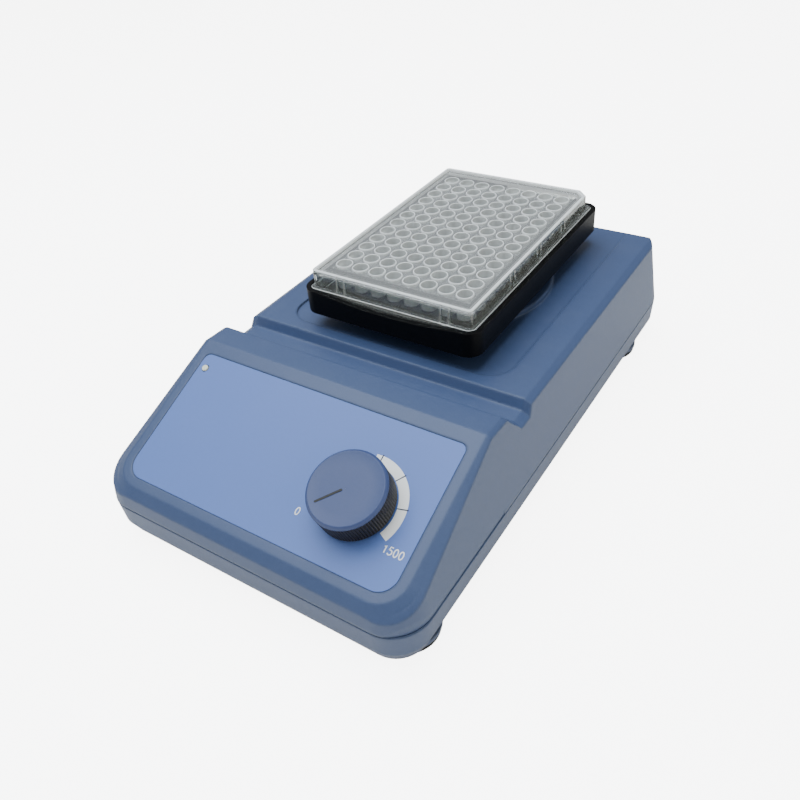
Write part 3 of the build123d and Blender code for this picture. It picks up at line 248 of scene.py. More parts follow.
def addGroup(tree, group, **values):
    node = tree.nodes.new("ShaderNodeGroup")
    node.node_tree = group
    for label, value in values.items():
        if isinstance(value, (int, float)):
            node.inputs[label].default_value = value
        else:
            tree.links.new(value, node.inputs[label])
    return node


dustColour = (0.60, 0.60, 0.58)


def plasticMaterial(name, values):
    # Moulded plastic: base colour, a lighter edge by the edge mask (part wear, part painted
    # edge highlight), a little dust, and grain in the normal.
    material, tree, shader, coords = newMaterial(name)
    edge = addGroup(tree, softEdge, Radius=values["edgeRadius"], Gain=values.get("edgeGain", 2.0))
    bumps = addGroup(tree, grain, Vector=coords.outputs["Object"], Scale=values["grainScale"],
                     Strength=values["grainStrength"], Normal=edge.outputs["Normal"])
    specks = addGroup(tree, dust, Vector=coords.outputs["Object"], Amount=values.get("dust", 0.15))
    tone = mixColor(tree, bumps.outputs["Mask"], values["dark"], values["light"])
    # Lighter edge colour: part wear, part painted highlight along the edges.
    edgeWearAndHighlight = mathNode(tree, "MULTIPLY", edge.outputs["Edge"], values.get("edgeWearAndHighlight", 0.25))
    wornAndHighlitTone = mixColor(tree, edgeWearAndHighlight, tone, values["edge"])
    dusty = mixColor(tree, specks.outputs["Mask"], wornAndHighlitTone, dustColour)
    tree.links.new(dusty, shader.inputs["Base Color"])
    rough = mathNode(tree, "ADD", values["rough"], mathNode(tree, "MULTIPLY", bumps.outputs["Mask"], 0.12))
    tree.links.new(rough, shader.inputs["Roughness"])
    tree.links.new(bumps.outputs["Normal"], shader.inputs["Normal"])
    shader.inputs["Specular IOR Level"].default_value = values.get("specular", 0.5)
    return material


def metalMaterial(name, values):
    # Metal: full metallic, roughness varied by stretched noise along one direction.
    material, tree, shader, coords = newMaterial(name)
    mapping = tree.nodes.new("ShaderNodeMapping")
    mapping.inputs["Scale"].default_value = values.get("stretch", (1.0, 1.0, 1.0))
    tree.links.new(coords.outputs["Object"], mapping.inputs[0])
    edge = addGroup(tree, softEdge, Radius=values.get("edgeRadius", 0.0003), Gain=3.0)
    bumps = addGroup(tree, grain, Vector=mapping.outputs[0], Scale=values["grainScale"],
                     Strength=values["grainStrength"], Normal=edge.outputs["Normal"])
    tone = mixColor(tree, bumps.outputs["Mask"], values["dark"], values["light"])
    # Edges lighter by the edge mask: part wear, part painted edge highlight.
    wornAndHighlitMetalTone = mixColor(tree, mathNode(tree, "MULTIPLY", edge.outputs["Edge"], 0.4), tone, values["light"])
    tree.links.new(wornAndHighlitMetalTone, shader.inputs["Base Color"])
    rough = mathNode(tree, "ADD", values["rough"], mathNode(tree, "MULTIPLY", bumps.outputs["Mask"], 0.18))
    tree.links.new(rough, shader.inputs["Roughness"])
    tree.links.new(bumps.outputs["Normal"], shader.inputs["Normal"])
    shader.inputs["Metallic"].default_value = 1.0
    return material


def clearMaterial(name, values):
    # Clear polystyrene: transmission with a faint waviness from a large noise.
    material, tree, shader, coords = newMaterial(name)
    wave = tree.nodes.new("ShaderNodeTexNoise")
    wave.inputs["Scale"].default_value = 90.0
    tree.links.new(coords.outputs["Object"], wave.inputs["Vector"])
    bump = tree.nodes.new("ShaderNodeBump")
    bump.inputs["Strength"].default_value = values["waviness"]
    bump.inputs["Distance"].default_value = 0.0004
    tree.links.new(wave.outputs[0], bump.inputs["Height"])
    tree.links.new(bump.outputs[0], shader.inputs["Normal"])
    tone = mixColor(tree, wave.outputs[0], values["dark"], values["light"])
    tree.links.new(tone, shader.inputs["Base Color"])
    shader.inputs["Roughness"].default_value = values["rough"]
    shader.inputs["IOR"].default_value = values["ior"]
    shader.inputs["Transmission Weight"].default_value = values["transmission"]
    return material


finishes = {
    # The "edge" colours are lighter edges: part wear, part painted edge highlight.
    "housing_blue": plasticMaterial("housingBlue", {
        "dark": (0.0425, 0.0725, 0.161), "light": (0.054, 0.089, 0.195), "edge": (0.16, 0.23, 0.34),
        "edgeRadius": 0.0016, "grainScale": 1400.0, "grainStrength": 0.20, "rough": 0.36, "edgeWearAndHighlight": 0.35,
        "dust": 0.04}),
    "overlay_foil": plasticMaterial("overlayFoil", {
        "dark": (0.100, 0.178, 0.480), "light": (0.115, 0.204, 0.545), "edge": (0.20, 0.28, 0.58),
        "edgeRadius": 0.0003, "grainScale": 2500.0, "grainStrength": 0.06, "rough": 0.45, "edgeWearAndHighlight": 0.2,
        "dust": 0.02}),
    "lamp_lens": plasticMaterial("lampLens", {
        "dark": (0.75, 0.78, 0.60), "light": (0.85, 0.88, 0.70), "edge": (0.9, 0.9, 0.8),
        "edgeRadius": 0.0003, "grainScale": 900.0, "grainStrength": 0.03, "rough": 0.18, "edgeWearAndHighlight": 0.1}),
    # Near-black knob side: painted shade; the knob is the same slate-blue plastic as its cap, its knurled
    # side dark in shade.
    "knob_body": plasticMaterial("knobBody", {
        "dark": (0.010, 0.008, 0.007), "light": (0.018, 0.014, 0.012), "edge": (0.06, 0.055, 0.05),
        "edgeRadius": 0.0003, "grainScale": 1800.0, "grainStrength": 0.15, "rough": 0.42}),
    "knob_cap": plasticMaterial("knobCap", {
        "dark": (0.037, 0.061, 0.168), "light": (0.045, 0.073, 0.198), "edge": (0.16, 0.21, 0.34),
        "edgeRadius": 0.0003, "grainScale": 2200.0, "grainStrength": 0.15, "rough": 0.40, "dust": 0.03}),
    "pointer_black": plasticMaterial("pointerBlack", {
        "dark": (0.008, 0.008, 0.008), "light": (0.014, 0.014, 0.014), "edge": (0.03, 0.03, 0.03),
        "edgeRadius": 0.0001, "grainScale": 1500.0, "grainStrength": 0.05, "rough": 0.5, "dust": 0.02}),
    "foot_rubber": plasticMaterial("footRubber", {
        "dark": (0.016, 0.016, 0.017), "light": (0.028, 0.028, 0.029), "edge": (0.06, 0.06, 0.06),
        "edgeRadius": 0.0005, "grainScale": 900.0, "grainStrength": 0.35, "rough": 0.75, "specular": 0.3}),
    "tray_black": plasticMaterial("trayBlack", {
        "dark": (0.0016, 0.0016, 0.0020), "light": (0.003, 0.003, 0.0036),
        "edge": (0.012, 0.016, 0.013),
        "edgeRadius": 0.0006, "grainScale": 1300.0, "grainStrength": 0.12, "rough": 0.34, "specular": 0.09,
        "dust": 0.004}),
    "mat_rubber": plasticMaterial("matRubber", {
        "dark": (0.006, 0.010, 0.008), "light": (0.011, 0.017, 0.013), "edge": (0.04, 0.04, 0.04),
        "edgeRadius": 0.0003, "grainScale": 700.0, "grainStrength": 0.3, "rough": 0.8, "dust": 0.02}),
    "board_green": plasticMaterial("boardGreen", {
        "dark": (0.010, 0.090, 0.035), "light": (0.016, 0.130, 0.050), "edge": (0.30, 0.28, 0.14),
        "edgeRadius": 0.0002, "grainScale": 500.0, "grainStrength": 0.08, "rough": 0.35}),
    "part_black": plasticMaterial("partBlack", {
        "dark": (0.014, 0.014, 0.015), "light": (0.024, 0.024, 0.026), "edge": (0.08, 0.08, 0.08),
        "edgeRadius": 0.0002, "grainScale": 1200.0, "grainStrength": 0.1, "rough": 0.45}),
    "inlet_black": plasticMaterial("inletBlack", {
        "dark": (0.012, 0.012, 0.013), "light": (0.020, 0.020, 0.022), "edge": (0.09, 0.09, 0.09),
        "edgeRadius": 0.0005, "grainScale": 1500.0, "grainStrength": 0.12, "rough": 0.40}),
    "crank_plastic": plasticMaterial("crankPlastic", {
        "dark": (0.68, 0.66, 0.60), "light": (0.78, 0.76, 0.70), "edge": (0.85, 0.84, 0.80),
        "edgeRadius": 0.0003, "grainScale": 900.0, "grainStrength": 0.05, "rough": 0.4}),
    "screw_steel": metalMaterial("screwSteel", {
        "dark": (0.42, 0.42, 0.42), "light": (0.62, 0.62, 0.61), "grainScale": 900.0,
        "grainStrength": 0.06, "rough": 0.28}),
    "shaft_steel": metalMaterial("shaftSteel", {
        "dark": (0.52, 0.52, 0.52), "light": (0.70, 0.70, 0.69), "grainScale": 700.0,
        "grainStrength": 0.04, "rough": 0.18}),
    "sheet_aluminium": metalMaterial("sheetAluminium", {
        "dark": (0.56, 0.57, 0.58), "light": (0.70, 0.71, 0.72), "grainScale": 500.0,
        "grainStrength": 0.08,
        "rough": 0.32, "stretch": (0.06, 1.0, 1.0)}),
    "cast_aluminium": metalMaterial("castAluminium", {
        "dark": (0.48, 0.49, 0.50), "light": (0.62, 0.63, 0.64), "grainScale": 600.0,
        "grainStrength": 0.2, "rough": 0.38}),
    "motor_steel": metalMaterial("motorSteel", {
        "dark": (0.36, 0.36, 0.37), "light": (0.50, 0.50, 0.51), "grainScale": 700.0,
        "grainStrength": 0.06, "rough": 0.3}),
    "laminations": metalMaterial("laminations", {
        "dark": (0.16, 0.16, 0.17), "light": (0.30, 0.30, 0.31), "grainScale": 900.0,
        "grainStrength": 0.3,
        "rough": 0.45, "stretch": (0.05, 0.05, 3.0)}),
    "copper_winding": metalMaterial("copperWinding", {
        "dark": (0.45, 0.17, 0.07), "light": (0.72, 0.32, 0.15), "grainScale": 900.0,
        "grainStrength": 0.4,
        "rough": 0.32, "stretch": (0.2, 0.2, 2.0)}),
    "bronze_bush": metalMaterial("bronzeBush", {
        "dark": (0.42, 0.28, 0.12), "light": (0.60, 0.42, 0.20), "grainScale": 900.0,
        "grainStrength": 0.15, "rough": 0.35}),
    "weight_brass": metalMaterial("weightBrass", {
        "dark": (0.52, 0.40, 0.18), "light": (0.68, 0.54, 0.26), "grainScale": 700.0,
        "grainStrength": 0.06, "rough": 0.26}),
    "contact_metal": metalMaterial("contactMetal", {
        "dark": (0.60, 0.58, 0.54), "light": (0.76, 0.74, 0.70), "grainScale": 900.0,
        "grainStrength": 0.03, "rough": 0.16}),
    "plate_clear": clearMaterial("plateClear", {
        "dark": (0.90, 0.95, 0.92), "light": (0.97, 1.0, 0.98), "waviness": 0.05, "rough": 0.03,
        "ior": 1.50,
        "transmission": 0.93}),
    # Deck sheet, wells and ring tops: the same clear plastic made less clear and whiter, painted light seen
    # through the plate.
    "plate_web": clearMaterial("plateWeb", {
        "dark": (0.92, 0.95, 0.94), "light": (0.97, 0.99, 0.98), "waviness": 0.05, "rough": 0.06,
        "ior": 1.50,
        "transmission": 0.80}),
    "plate_well": clearMaterial("plateWell", {
        "dark": (0.92, 0.95, 0.94), "light": (0.98, 1.0, 0.99), "waviness": 0.05, "rough": 0.08,
        "ior": 1.50,
        "transmission": 0.36}),
    # Ring tops and edge lines: painted highlight, nearly opaque white.
    "plate_rim": clearMaterial("plateRim", {
        "dark": (0.94, 0.97, 0.96), "light": (0.98, 1.0, 0.99), "waviness": 0.03, "rough": 0.08,
        "ior": 1.50,
        "transmission": 0.15}),
    "fuse_glass": clearMaterial("fuseGlass", {
        "dark": (0.92, 0.95, 0.95), "light": (0.98, 1.0, 1.0), "waviness": 0.02, "rough": 0.02,
        "ior": 1.5,
        "transmission": 1.0}),
}

slotOfNode = {row["node"]: row["material_slot"] for row in frame["record"]["subparts"]}
for name, node in nodes.items():
    node.data.materials.clear()
    node.data.materials.append(finishes[slotOfNode[name]])
print("materials set:", len(finishes))


# Microplate: clear plate with 96 flat-bottomed wells, ledge, flange and ribs

plateLow, plateHigh = lowHigh("microplate")
plateCentre = (plateLow + plateHigh) / 2 / mm
plate = {
    "top": plateHigh[2] / mm, "bottom": plateLow[2] / mm,
    "halfX": (plateHigh[0] - plateLow[0]) / 2 / mm, "halfY": (plateHigh[1] - plateLow[1]) / 2 / mm,
    "flange": 6.1, "insetX": 1.45, "insetY": 1.85, "rimWidth": 1.5, "deckDrop": 1.5, "deckThickness": 1.1,
    "skin": 1.2, "corner": 3.2, "cut": 5.0, "pitch": 9.0, "wellRadius": 3.43, "wellDepth": 10.7,
    "wellWall": 0.55, "chimney": 0.8, "samples": 32,
}


def plateRing(insetX, insetY, z, corner, cut=0.0, perCorner=9):
    # Rounded rectangle: corner arcs of equal sample count; one corner can be a straight cut instead.
    hx = plate["halfX"] - insetX
    hy = plate["halfY"] - insetY
    points = []
    for number, (sx, sy) in enumerate(((1, 1), (-1, 1), (-1, -1), (1, -1))):
        t = np.linspace(0, math.pi / 2, perCorner) + number * math.pi / 2
        if number == 0 and cut > 0:
            k = np.linspace(0, 1, perCorner)
            x = hx - cut * k
            y = hy - cut * (1 - k)
        else:
            x = sx * (hx - corner) + corner * np.cos(t)
            y = sy * (hy - corner) + corner * np.sin(t)
        points.append(np.stack([x, y, np.full(perCorner, z)], 1))
    return np.concatenate(points)


def plateShell():
    top, low = plate["top"], plate["bottom"]
    ledge = low + plate["flange"]
    deck = top - plate["deckDrop"]
    ix, iy, rim, skin = plate["insetX"], plate["insetY"], plate["rimWidth"], plate["skin"]
    cut = plate["cut"]
    inside = (ix + rim, iy + rim)
    rings = [
        plateRing(0.15, 0.15, low, plate["corner"]),
        plateRing(0, 0, low + 0.3, plate["corner"]),
        plateRing(0, 0, ledge - 0.3, plate["corner"]),
        plateRing(0.25, 0.25, ledge, plate["corner"] - 0.2),
        plateRing(ix - 0.3, iy - 0.3, ledge, 2.2, cut),
        plateRing(ix, iy, ledge + 0.3, 2.0, cut),
        plateRing(ix, iy, top - 0.25, 2.0, cut),
        plateRing(ix + 0.25, iy + 0.25, top, 1.8, cut),
        plateRing(ix + rim - 0.25, iy + rim - 0.25, top, 1.2, cut),
        plateRing(*inside, top - 0.25, 1.0, cut),
        plateRing(*inside, deck + 0.2, 1.0, cut),
        plateRing(inside[0] + 0.2, inside[1] + 0.2, deck, 0.9, cut),
        plateRing(inside[0] + 0.2, inside[1] + 0.2, deck - plate["deckThickness"], 0.9, cut),
        plateRing(ix + skin, iy + skin, deck - plate["deckThickness"] - 0.2, 1.0, cut),
        plateRing(ix + skin, iy + skin, ledge - 1.0, 1.0, cut),
        plateRing(skin, skin, ledge - 1.2, 2.0),
        plateRing(skin, skin, low, 2.0),
    ]
    count = len(rings[0])
    deckTop = 11
    points = np.concatenate(rings)
    faces = gridFaces(len(rings), count)
    # the strip between deck top and deck bottom is open: the deck surface fills it
    keep = (faces[:, 0] // count) != deckTop
    faces = faces[keep]
    lastRow = len(rings) - 1
    base = np.arange(count)
    after = (base + 1) % count
    closing = np.stack([lastRow * count + base, lastRow * count + after, after, base], 1)
    return points, np.concatenate([faces, closing])


def deckFrame(z, insetX, insetY):
    # Flat strip between the rim's inner line and the block of wells.
    halfX, halfY = plate["pitch"] * 4, plate["pitch"] * 6
    outer = plateRing(insetX, insetY, z, 0.9, plate["cut"])
    inner = outer.copy()
    inner[:, 0] = np.clip(outer[:, 0], -halfX, halfX)
    inner[:, 1] = np.clip(outer[:, 1], -halfY, halfY)
    count = len(outer)
    return np.concatenate([outer, inner]), gridFaces(2, count)


def wellSurface():
    # One cell: a square edge flows into the chimney circle, the bore and the flat bottom;
    # the outside follows.
    n = plate["samples"]
    angle = np.arange(n) * 2 * math.pi / n
    c, s = np.cos(angle), np.sin(angle)
    half = plate["pitch"] / 2
    square = half / np.maximum(np.abs(c), np.abs(s))
    deck = plate["top"] - plate["deckDrop"]
    bore = plate["wellRadius"]
    wall = plate["wellWall"]
    rise = plate["chimney"]
    bottom = deck + rise - plate["wellDepth"]
    thick = plate["deckThickness"]
    profile = [
        (square, deck), (bore + wall + 0.15, deck), (bore + wall, deck + 0.15),
        (bore + wall - 0.05, deck + rise - 0.12), (bore + wall - 0.18, deck + rise),
        (bore + 0.12, deck + rise), (bore, deck + rise - 0.12),
        (bore - 0.25, bottom + 0.5), (bore - 0.75, bottom), (0.02, bottom),
    ]
    under = [
        (square, deck - thick), (bore + wall + 0.1, deck - thick), (bore + wall - 0.1, deck - thick - 0.3),
        (bore + wall - 0.35, bottom - 0.4), (bore - 0.35, bottom - 0.9), (0.02, bottom - 0.9),
    ]
    parts = []
    for rows in (profile, under):
        rings = [np.stack([r * c, r * s, np.full(n, z)], 1) for r, z in rows]
        parts.append((np.concatenate(rings), gridFaces(len(rings), n)))
    return joinParts(parts)


def buildPlate():
    cell, cellFaces = wellSurface()
    parts = [plateShell()]
    inset = (plate["insetX"] + plate["rimWidth"] + 0.2, plate["insetY"] + plate["rimWidth"] + 0.2)
    deck = plate["top"] - plate["deckDrop"]
    parts.append(deckFrame(deck, *inset))
    parts.append(deckFrame(deck - plate["deckThickness"], *inset))
    for i in range(8):
        for j in range(12):
            shift = np.array([(i - 3.5) * plate["pitch"], (j - 5.5) * plate["pitch"], 0])
            parts.append((cell + shift, cellFaces))
    points, faces = joinParts(parts)
    points = (points + np.array([plateCentre[0], plateCentre[1], 0])) * mm
    obj = makePiece("clearMicroplate", points, faces, "sample_plate", finishes["plate_clear"],
                    True, 2e-6)
    splitByAngle(obj, 40)
    for name in ("plate_web", "plate_rim", "plate_well"):
        obj.data.materials.append(finishes[name])
    count = len(obj.data.polygons)
    centres = np.zeros(count * 3)
    obj.data.polygons.foreach_get("center", centres)
    # Finish by place: 0 skirt, 1 deck sheet, 2 ring tops and outer edge lines, 3 wells.
    # The same clear plastic is whiter and less clear on the ring tops and edge lines as a painted
    # highlight, and in the wells and, a little, the deck sheet as painted light seen through the plate.
    x, y, z = (centres.reshape(-1, 3) / mm - np.array([plateCentre[0], plateCentre[1], 0])).T
    halfX, halfY, pitch = plate["pitch"] * 4, plate["pitch"] * 6, plate["pitch"]
    inBlock = (np.abs(x) < halfX) & (np.abs(y) < halfY)
    reach = np.hypot((x - halfX) % pitch - pitch / 2, (y - halfY) % pitch - pitch / 2)
    ledge = plate["bottom"] + plate["flange"]
    edgeLine = ~inBlock & (((z > ledge - 0.29) & (z < ledge - 0.01)) | (z < plate["bottom"] + 0.29))
    finish = np.zeros(count, np.int32)
    finish[inBlock | (z > deck - plate["deckThickness"] - 0.2)] = 1
    finish[inBlock & (reach < plate["wellRadius"] + plate["wellWall"] - 0.02) & (z < deck - 0.1)] = 3
    finish[edgeLine | (z > deck + plate["chimney"] / 2)] = 2
    obj.data.polygons.foreach_set("material_index", finish)
    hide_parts("microplate")
    return obj


rib = {"width": 0.9, "gap": 4.2, "sunk": 0.2, "deepHigh": 0.25, "alongY": [-27.8, -0.8, 25.8],
       "alongX": [-26.8, 26.8]}


def wedge(width, deepLow, deepHigh, low, high):
    # Thin rib against a wall: deeper at the foot than at the top; x is outward.
    x = np.array([-rib["sunk"], deepLow, deepHigh, -rib["sunk"]])
    z = np.array([low, low, high, high])
    front = np.stack([x, np.full(4, -width / 2), z], 1)
    back = front + np.array([0, width, 0])
    faces = [[0, 1, 2, 3], [7, 6, 5, 4], [0, 4, 5, 1], [1, 5, 6, 2], [2, 6, 7, 3], [3, 7, 4, 0]]
    return np.concatenate([front, back]), faces


def buildRibs():
    low = plate["bottom"] + plate["flange"] - 0.1
    high = plate["top"] - 0.4
    parts = []
    for turn in (0, 180, -90, 90):
        across = turn in (0, 180)
        places = rib["alongY"] if across else rib["alongX"]
        inset = plate["insetX"] if across else plate["insetY"]
        distance = (plate["halfX"] if across else plate["halfY"]) - inset
        a = math.radians(turn)
        matrix = np.array([[math.cos(a), -math.sin(a), 0], [math.sin(a), math.cos(a), 0], [0, 0, 1]])
        for place in places:
            for offset in (0.0, -rib["gap"] if turn == 180 else rib["gap"]):
                points, faces = wedge(rib["width"], inset - rib["sunk"], rib["deepHigh"], low, high)
                parts.append(((points + np.array([distance, place + offset, 0])) @ matrix.T, faces))
    points, faces = joinParts(parts)
    points = (points + np.array([plateCentre[0], plateCentre[1], 0])) * mm
    return makePiece("plateRibs", points, faces, "sample_plate", finishes["plate_clear"],
                     False)


buildPlate()
buildRibs()
print("microplate built")


# Speed knob: knurled drum with a flat cap and a black pointer line

knob = {
    "x": 37.2, "up": 31.3, "gap": 0.6, "radius": 16.1, "height": 12.0, "ridges": 87, "depth": 0.55,
    "chamfer": 1.15, "capDrop": 0.15, "pointerAngle": 227.5, "pointerWidth": 0.9,
    "pointerStart": 1.3, "pointerEnd": 12.6, "perRidge": 8,
}


def knobDrum():
    # Radius = drum radius minus depth times a rounded tooth wave, faded out towards both ends of the grip.
    count = knob["ridges"] * knob["perRidge"]
    angle = np.arange(count) * 2 * math.pi / count
    tooth = np.abs(np.sin(angle * knob["ridges"] / 2)) ** 0.7
    radius, top, low = knob["radius"], knob["gap"] + knob["height"], knob["gap"]
    rows = [
        (radius - 2.2, low, 0.0), (radius - 0.6, low, 0.0), (radius - 0.1, low + 0.4, 0.2),
        (radius, low + 1.0, 1.0), (radius, top - 3.0, 1.0), (radius, top - 1.9, 1.0),
        (radius - 0.05, top - 1.6, 0.6),
        (radius - 0.1, top - 1.35, 0.0), (radius - 0.4, top - 1.3, 0.0), (radius - 0.6, top - 1.6, 0.0),
    ]
    rings = []
    for r, z, share in rows:
        reach = r - knob["depth"] * share * (1 - tooth)
        rings.append(np.stack([reach * np.cos(angle), reach * np.sin(angle), np.full(count, z)], 1))
    points = np.concatenate(rings) + np.array([knob["x"], knob["up"], 0])
    # The drum gets the near-black finish as painted shade of the slate-blue knob.
    obj = makePiece("knobDrum", onPanel(points), gridFaces(len(rows), count), "knob",
                    finishes["knob_body"])
    splitByAngle(obj, 50)
    return obj


def knobTop():
    # Cap: a chamfered ring, then a face that sinks a little towards the middle.
    count = 160
    angle = np.arange(count) * 2 * math.pi / count
    top = knob["gap"] + knob["height"]
    rim = knob["radius"] - 0.05
    r = knob["radius"] - knob["chamfer"]
    rows = [(rim - 0.3, top - 1.6), (rim, top - 1.35), (rim, top - knob["chamfer"]),
            (rim - 0.06, top - 1.0), (r + 0.1, top - 0.08), (r - 0.05, top), (r - 0.2, top),
            (r - 0.35, top - 0.05), (r * 0.66, top - 0.08), (r * 0.33, top - 0.12),
            (0.05, top - knob["capDrop"])]
    rings = [np.stack([q * np.cos(angle), q * np.sin(angle), np.full(count, z)], 1) for q, z in rows]
    points = np.concatenate(rings) + np.array([knob["x"], knob["up"], 0])
    return makePiece("knobTop", onPanel(points), gridFaces(len(rows), count), "knob",
                     finishes["knob_cap"])


def knobPointer():
    # Flat black bar with rounded ends that lies on the cap.
    half = knob["pointerWidth"] / 2
    start, end = knob["pointerStart"], knob["pointerEnd"]
    t = np.linspace(-math.pi / 2, math.pi / 2, 9)
    outline = np.concatenate([
        np.stack([end - half + half * np.cos(t), half * np.sin(t)], 1),
        np.stack([start + half - half * np.cos(t), -half * np.sin(t)], 1)])
    a = math.radians(knob["pointerAngle"])
    turn = np.array([[math.cos(a), -math.sin(a)], [math.sin(a), math.cos(a)]])
    flat = outline @ turn.T + np.array([knob["x"], knob["up"]])
    top = knob["gap"] + knob["height"]
    n = len(flat)
    low = np.column_stack([flat, np.full(n, top - 0.35)])
    high = np.column_stack([flat, np.full(n, top + 0.04)])
    faces = gridFaces(2, n).tolist() + [list(range(n, 2 * n))]
    return makePiece("knobPointer", onPanel(np.concatenate([low, high])), faces, "knob",
                     finishes["pointer_black"], False)


drum = knobDrum()
knobTop()
knobPointer()
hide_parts("speed_knob", "knob_cap", "knob_pointer")
print("knob built")


# Dial print: white crescent in four parts and plain numbers

printValues = {
    "centre": (37.2, 31.3), "outer": 20.3, "start": 96.8, "end": -26.9, "width": 4.0,
    "gaps": (89.4, 52.2, 12.1), "gapHalf": 0.75, "lineOver": 0.5, "thickness": 0.05,
    "zero": (16.8, 19.0), "maximum": (59.9, 19.6), "digitHeight": 3.2, "stroke": 0.5,
}
inkMaterial = plasticMaterial("whiteInk", {
    "dark": (0.90, 0.91, 0.90), "light": (0.96, 0.96, 0.95), "edge": (0.95, 0.95, 0.95),
    "edgeRadius": 0.00005, "grainScale": 2500.0, "grainStrength": 0.03, "rough": 0.5, "dust": 0.03})
navyMaterial = plasticMaterial("navyInk", {
    "dark": (0.010, 0.016, 0.050), "light": (0.016, 0.024, 0.070), "edge": (0.02, 0.03, 0.08),
    "edgeRadius": 0.00005, "grainScale": 2500.0, "grainStrength": 0.03, "rough": 0.5, "dust": 0.01})


def printedStrip(inner, outer):
    # Thin raised strip between two lines of the same length.
    level = panel["overlayLevel"]
    n = len(inner)
    low = np.concatenate([inner, outer])
    bottom = np.column_stack([low, np.full(2 * n, level - 0.01)])
    top = np.column_stack([low, np.full(2 * n, level + printValues["thickness"])])
    faces = []
    for i in range(n - 1):
        faces.append([i, i + 1, n + i + 1, n + i])
        faces.append([2 * n + i, 2 * n + n + i, 2 * n + n + i + 1, 2 * n + i + 1])
        faces.append([i, 2 * n + i, 2 * n + i + 1, i + 1])
        faces.append([n + i, n + i + 1, 3 * n + i + 1, 3 * n + i])
    faces.append([0, n, 3 * n, 2 * n])
    faces.append([n - 1, 3 * n - 1, 4 * n - 1, 2 * n - 1])
    return np.concatenate([bottom, top]), faces


def crescentParts():
    # Inner edge = outer radius minus the same width all along.
    edges = [printValues["start"]]
    for gap in printValues["gaps"]:
        edges += [gap + printValues["gapHalf"], gap - printValues["gapHalf"]]
    edges.append(printValues["end"])
    parts = []
    for first, last in zip(edges[::2], edges[1::2]):
        a = np.linspace(first, last, 24)
        reach = printValues["outer"] - printValues["width"]
        r = np.radians(a)
        centre = np.array(printValues["centre"])
        inner = centre + np.stack([reach * np.cos(r), reach * np.sin(r)], 1)
        outer = centre + printValues["outer"] * np.stack([np.cos(r), np.sin(r)], 1)
        parts.append(printedStrip(inner, outer))
    return parts


def dividerParts():
    # Dark radial lines in the gaps of the crescent; each reaches a little past its outer edge.
    centre = np.array(printValues["centre"])
    half = math.radians(printValues["gapHalf"])
    near = printValues["outer"] - printValues["width"]
    far = printValues["outer"] + printValues["lineOver"]
    parts = []
    for gap in printValues["gaps"]:
        sides = []
        for turn in (math.radians(gap) + half, math.radians(gap) - half):
            ray = np.array([math.cos(turn), math.sin(turn)])
            sides.append(np.stack([centre + near * ray, centre + far * ray]))
        parts.append(printedStrip(*sides))
    return parts


def digitLines(digit):
    # Centre lines in a box 0.6 wide and 1 high.
    t = np.linspace(0, 2 * math.pi, 33)
    if digit == "0":
        return [np.stack([0.3 + 0.24 * np.cos(t), 0.5 + 0.46 * np.sin(t)], 1)]
    if digit == "1":
        return [np.array([[0.14, 0.74], [0.34, 0.94], [0.34, 0.04]])]
    bowl = np.linspace(math.radians(125), math.radians(-150), 22)
    curve = np.stack([0.27 + 0.27 * np.cos(bowl), 0.33 + 0.29 * np.sin(bowl)], 1)
    return [np.concatenate([np.array([[0.52, 0.95], [0.16, 0.95]]), curve])]


def strokeParts(line, closed):
    width = printValues["stroke"] / 2
    if closed:
        direction = np.roll(line[:-1], -1, 0) - np.roll(line[:-1], 1, 0)
        direction = np.concatenate([direction, direction[:1]])
    else:
        direction = np.gradient(line, axis=0)
    direction /= np.linalg.norm(direction, axis=1)[:, None]
    side = np.stack([-direction[:, 1], direction[:, 0]], 1) * width
    return printedStrip(line + side, line - side)


def numberParts(text, centre):
    height = printValues["digitHeight"]
    pitch = 0.72 * height
    left = centre[0] - pitch * len(text) / 2
    parts = []
    for index, digit in enumerate(text):
        for line in digitLines(digit):
            place = line * height + np.array([left + index * pitch + 0.06 * height, centre[1] - height / 2])
            parts.append(strokeParts(place, digit == "0"))
    return parts


points, faces = joinParts(crescentParts())
makePiece("dialCrescent", onPanel(points), faces, "housing", inkMaterial, False)
points, faces = joinParts(dividerParts())
makePiece("dialDividers", onPanel(points), faces, "housing", navyMaterial, False)
numbers = numberParts("0", printValues["zero"]) + numberParts("1500", printValues["maximum"])
points, faces = joinParts(numbers)
makePiece("dialNumbers", onPanel(points), faces, "housing", inkMaterial, False)
print("dial print built")


# Stage: pale floor, studio light and the photo's camera

def lightPanel(name, values):
    data = bpy.data.lights.new(name, "AREA")
    data.shape = "RECTANGLE"
    data.size, data.size_y = values["size"]
    data.energy = values["power"]
    data.color = values["colour"]
    light = bpy.data.objects.new(name, data)
    bpy.context.scene.collection.objects.link(light)
    light.location = values["place"]
    aim = Vector(stage["target"]) - light.location
    light.rotation_euler = aim.to_track_quat("-Z", "Y").to_euler()
    return light


stage = {
    "half": 3.0, "drop": 0.0002, "paperDark": (0.90, 0.90, 0.90), "paperLight": (0.93, 0.93, 0.93),
    "warmGlow": (1.0, 0.90, 0.62), "white": (1.0, 1.0, 1.0), "glow": 0.38, "glowSeen": 6.0,
    "backdrop": 0.36, "backdropSeen": 5.0, "target": (0.0, 0.0, 0.04),
}


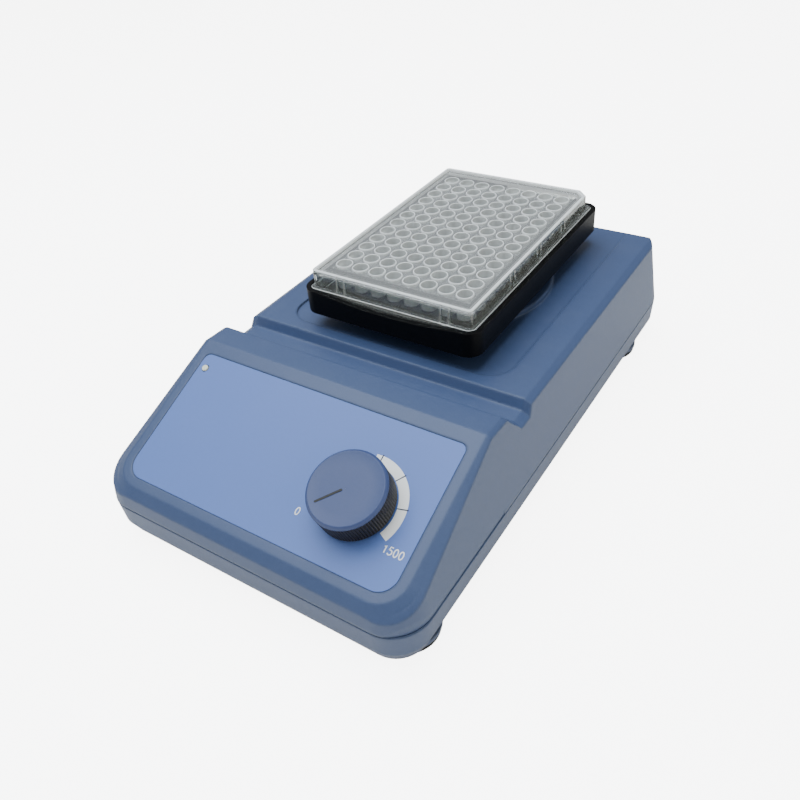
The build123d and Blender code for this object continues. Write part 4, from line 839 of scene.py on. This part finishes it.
def buildStage():
    half = stage["half"]
    flat = [(-half, -half, 0), (half, -half, 0), (half, half, 0), (-half, half, 0)]
    mesh = bpy.data.meshes.new("studioFloor")
    mesh.from_pydata(flat, [], [(0, 1, 2, 3)])
    floor = bpy.data.objects.new("studioFloor", mesh)
    bpy.context.scene.collection.objects.link(floor)
    floor.location.z = -stage["drop"]
    material, tree, shader, coords = newMaterial("floorPaper")
    noise = tree.nodes.new("ShaderNodeTexNoise")
    noise.inputs["Scale"].default_value = 4.0
    tree.links.new(coords.outputs["Object"], noise.inputs["Vector"])
    paper = mixColor(tree, noise.outputs[0], stage["paperDark"], stage["paperLight"])
    tree.links.new(paper, shader.inputs["Base Color"])
    shader.inputs["Roughness"].default_value = 0.7
    # The paper looks white to the lens, and throws back a softer, warmer light.
    path = tree.nodes.new("ShaderNodeLightPath")
    seen = path.outputs["Is Camera Ray"]
    glowColour = mixColor(tree, seen, stage["warmGlow"], stage["white"])
    tree.links.new(glowColour, shader.inputs["Emission Color"])
    glow = mathNode(tree, "ADD", mathNode(tree, "MULTIPLY", seen, stage["glowSeen"]), stage["glow"])
    tree.links.new(glow, shader.inputs["Emission Strength"])
    mesh.materials.append(material)


lights = {
    "topLight": {"place": (-0.20, 0.00, 1.0), "size": (1.1, 1.1), "power": 17.5,
                 "colour": (0.84, 0.92, 1.0)},
    "frontLight": {"place": (-0.30, -1.10, 0.40), "size": (0.9, 0.6), "power": 0.4,
                   "colour": (1.0, 0.95, 0.80)},
    "rightLight": {"place": (1.10, -0.15, 0.45), "size": (0.9, 0.7), "power": 2.5,
                   "colour": (1.0, 0.95, 0.78)},
}


def buildLights():
    for name, values in lights.items():
        lightPanel(name, values)
    world = bpy.data.worlds.new("studioWorld")
    world.use_nodes = True
    # The backdrop looks pale to the lens, and lights the piece more softly than it looks.
    tree = world.node_tree
    background = tree.nodes["Background"]
    background.inputs[0].default_value = (*stage["white"], 1.0)
    path = tree.nodes.new("ShaderNodeLightPath")
    shown = mathNode(tree, "MULTIPLY", path.outputs["Is Camera Ray"], stage["backdropSeen"])
    tree.links.new(mathNode(tree, "ADD", shown, stage["backdrop"]), background.inputs[1])
    bpy.context.scene.world = world


view = {
    "right": (0.83896752, 0.53834386, -0.07949457), "up": (-0.28599630, 0.56047206, 0.77722402),
    "back": (0.46296827, -0.62933056, 0.62418221), "place": (0.17503027, -0.2513977, 0.25360448),
    "sensor": 36.0, "lens": 35.211, "shift": (-0.00141, 0.00029), "clip": (0.01, 20.0),
}


def buildCamera():
    data = bpy.data.cameras.new("photoCamera")
    data.sensor_width = view["sensor"]
    data.lens = view["lens"]
    data.shift_x, data.shift_y = view["shift"]
    data.clip_start, data.clip_end = view["clip"]
    camera = bpy.data.objects.new("photoCamera", data)
    bpy.context.scene.collection.objects.link(camera)
    columns = np.column_stack([view["right"], view["up"], view["back"], view["place"]])
    camera.matrix_world = Matrix([*columns.tolist(), [0, 0, 0, 1]])
    bpy.context.scene.camera = camera


buildStage()
buildLights()
buildCamera()
print("stage built")
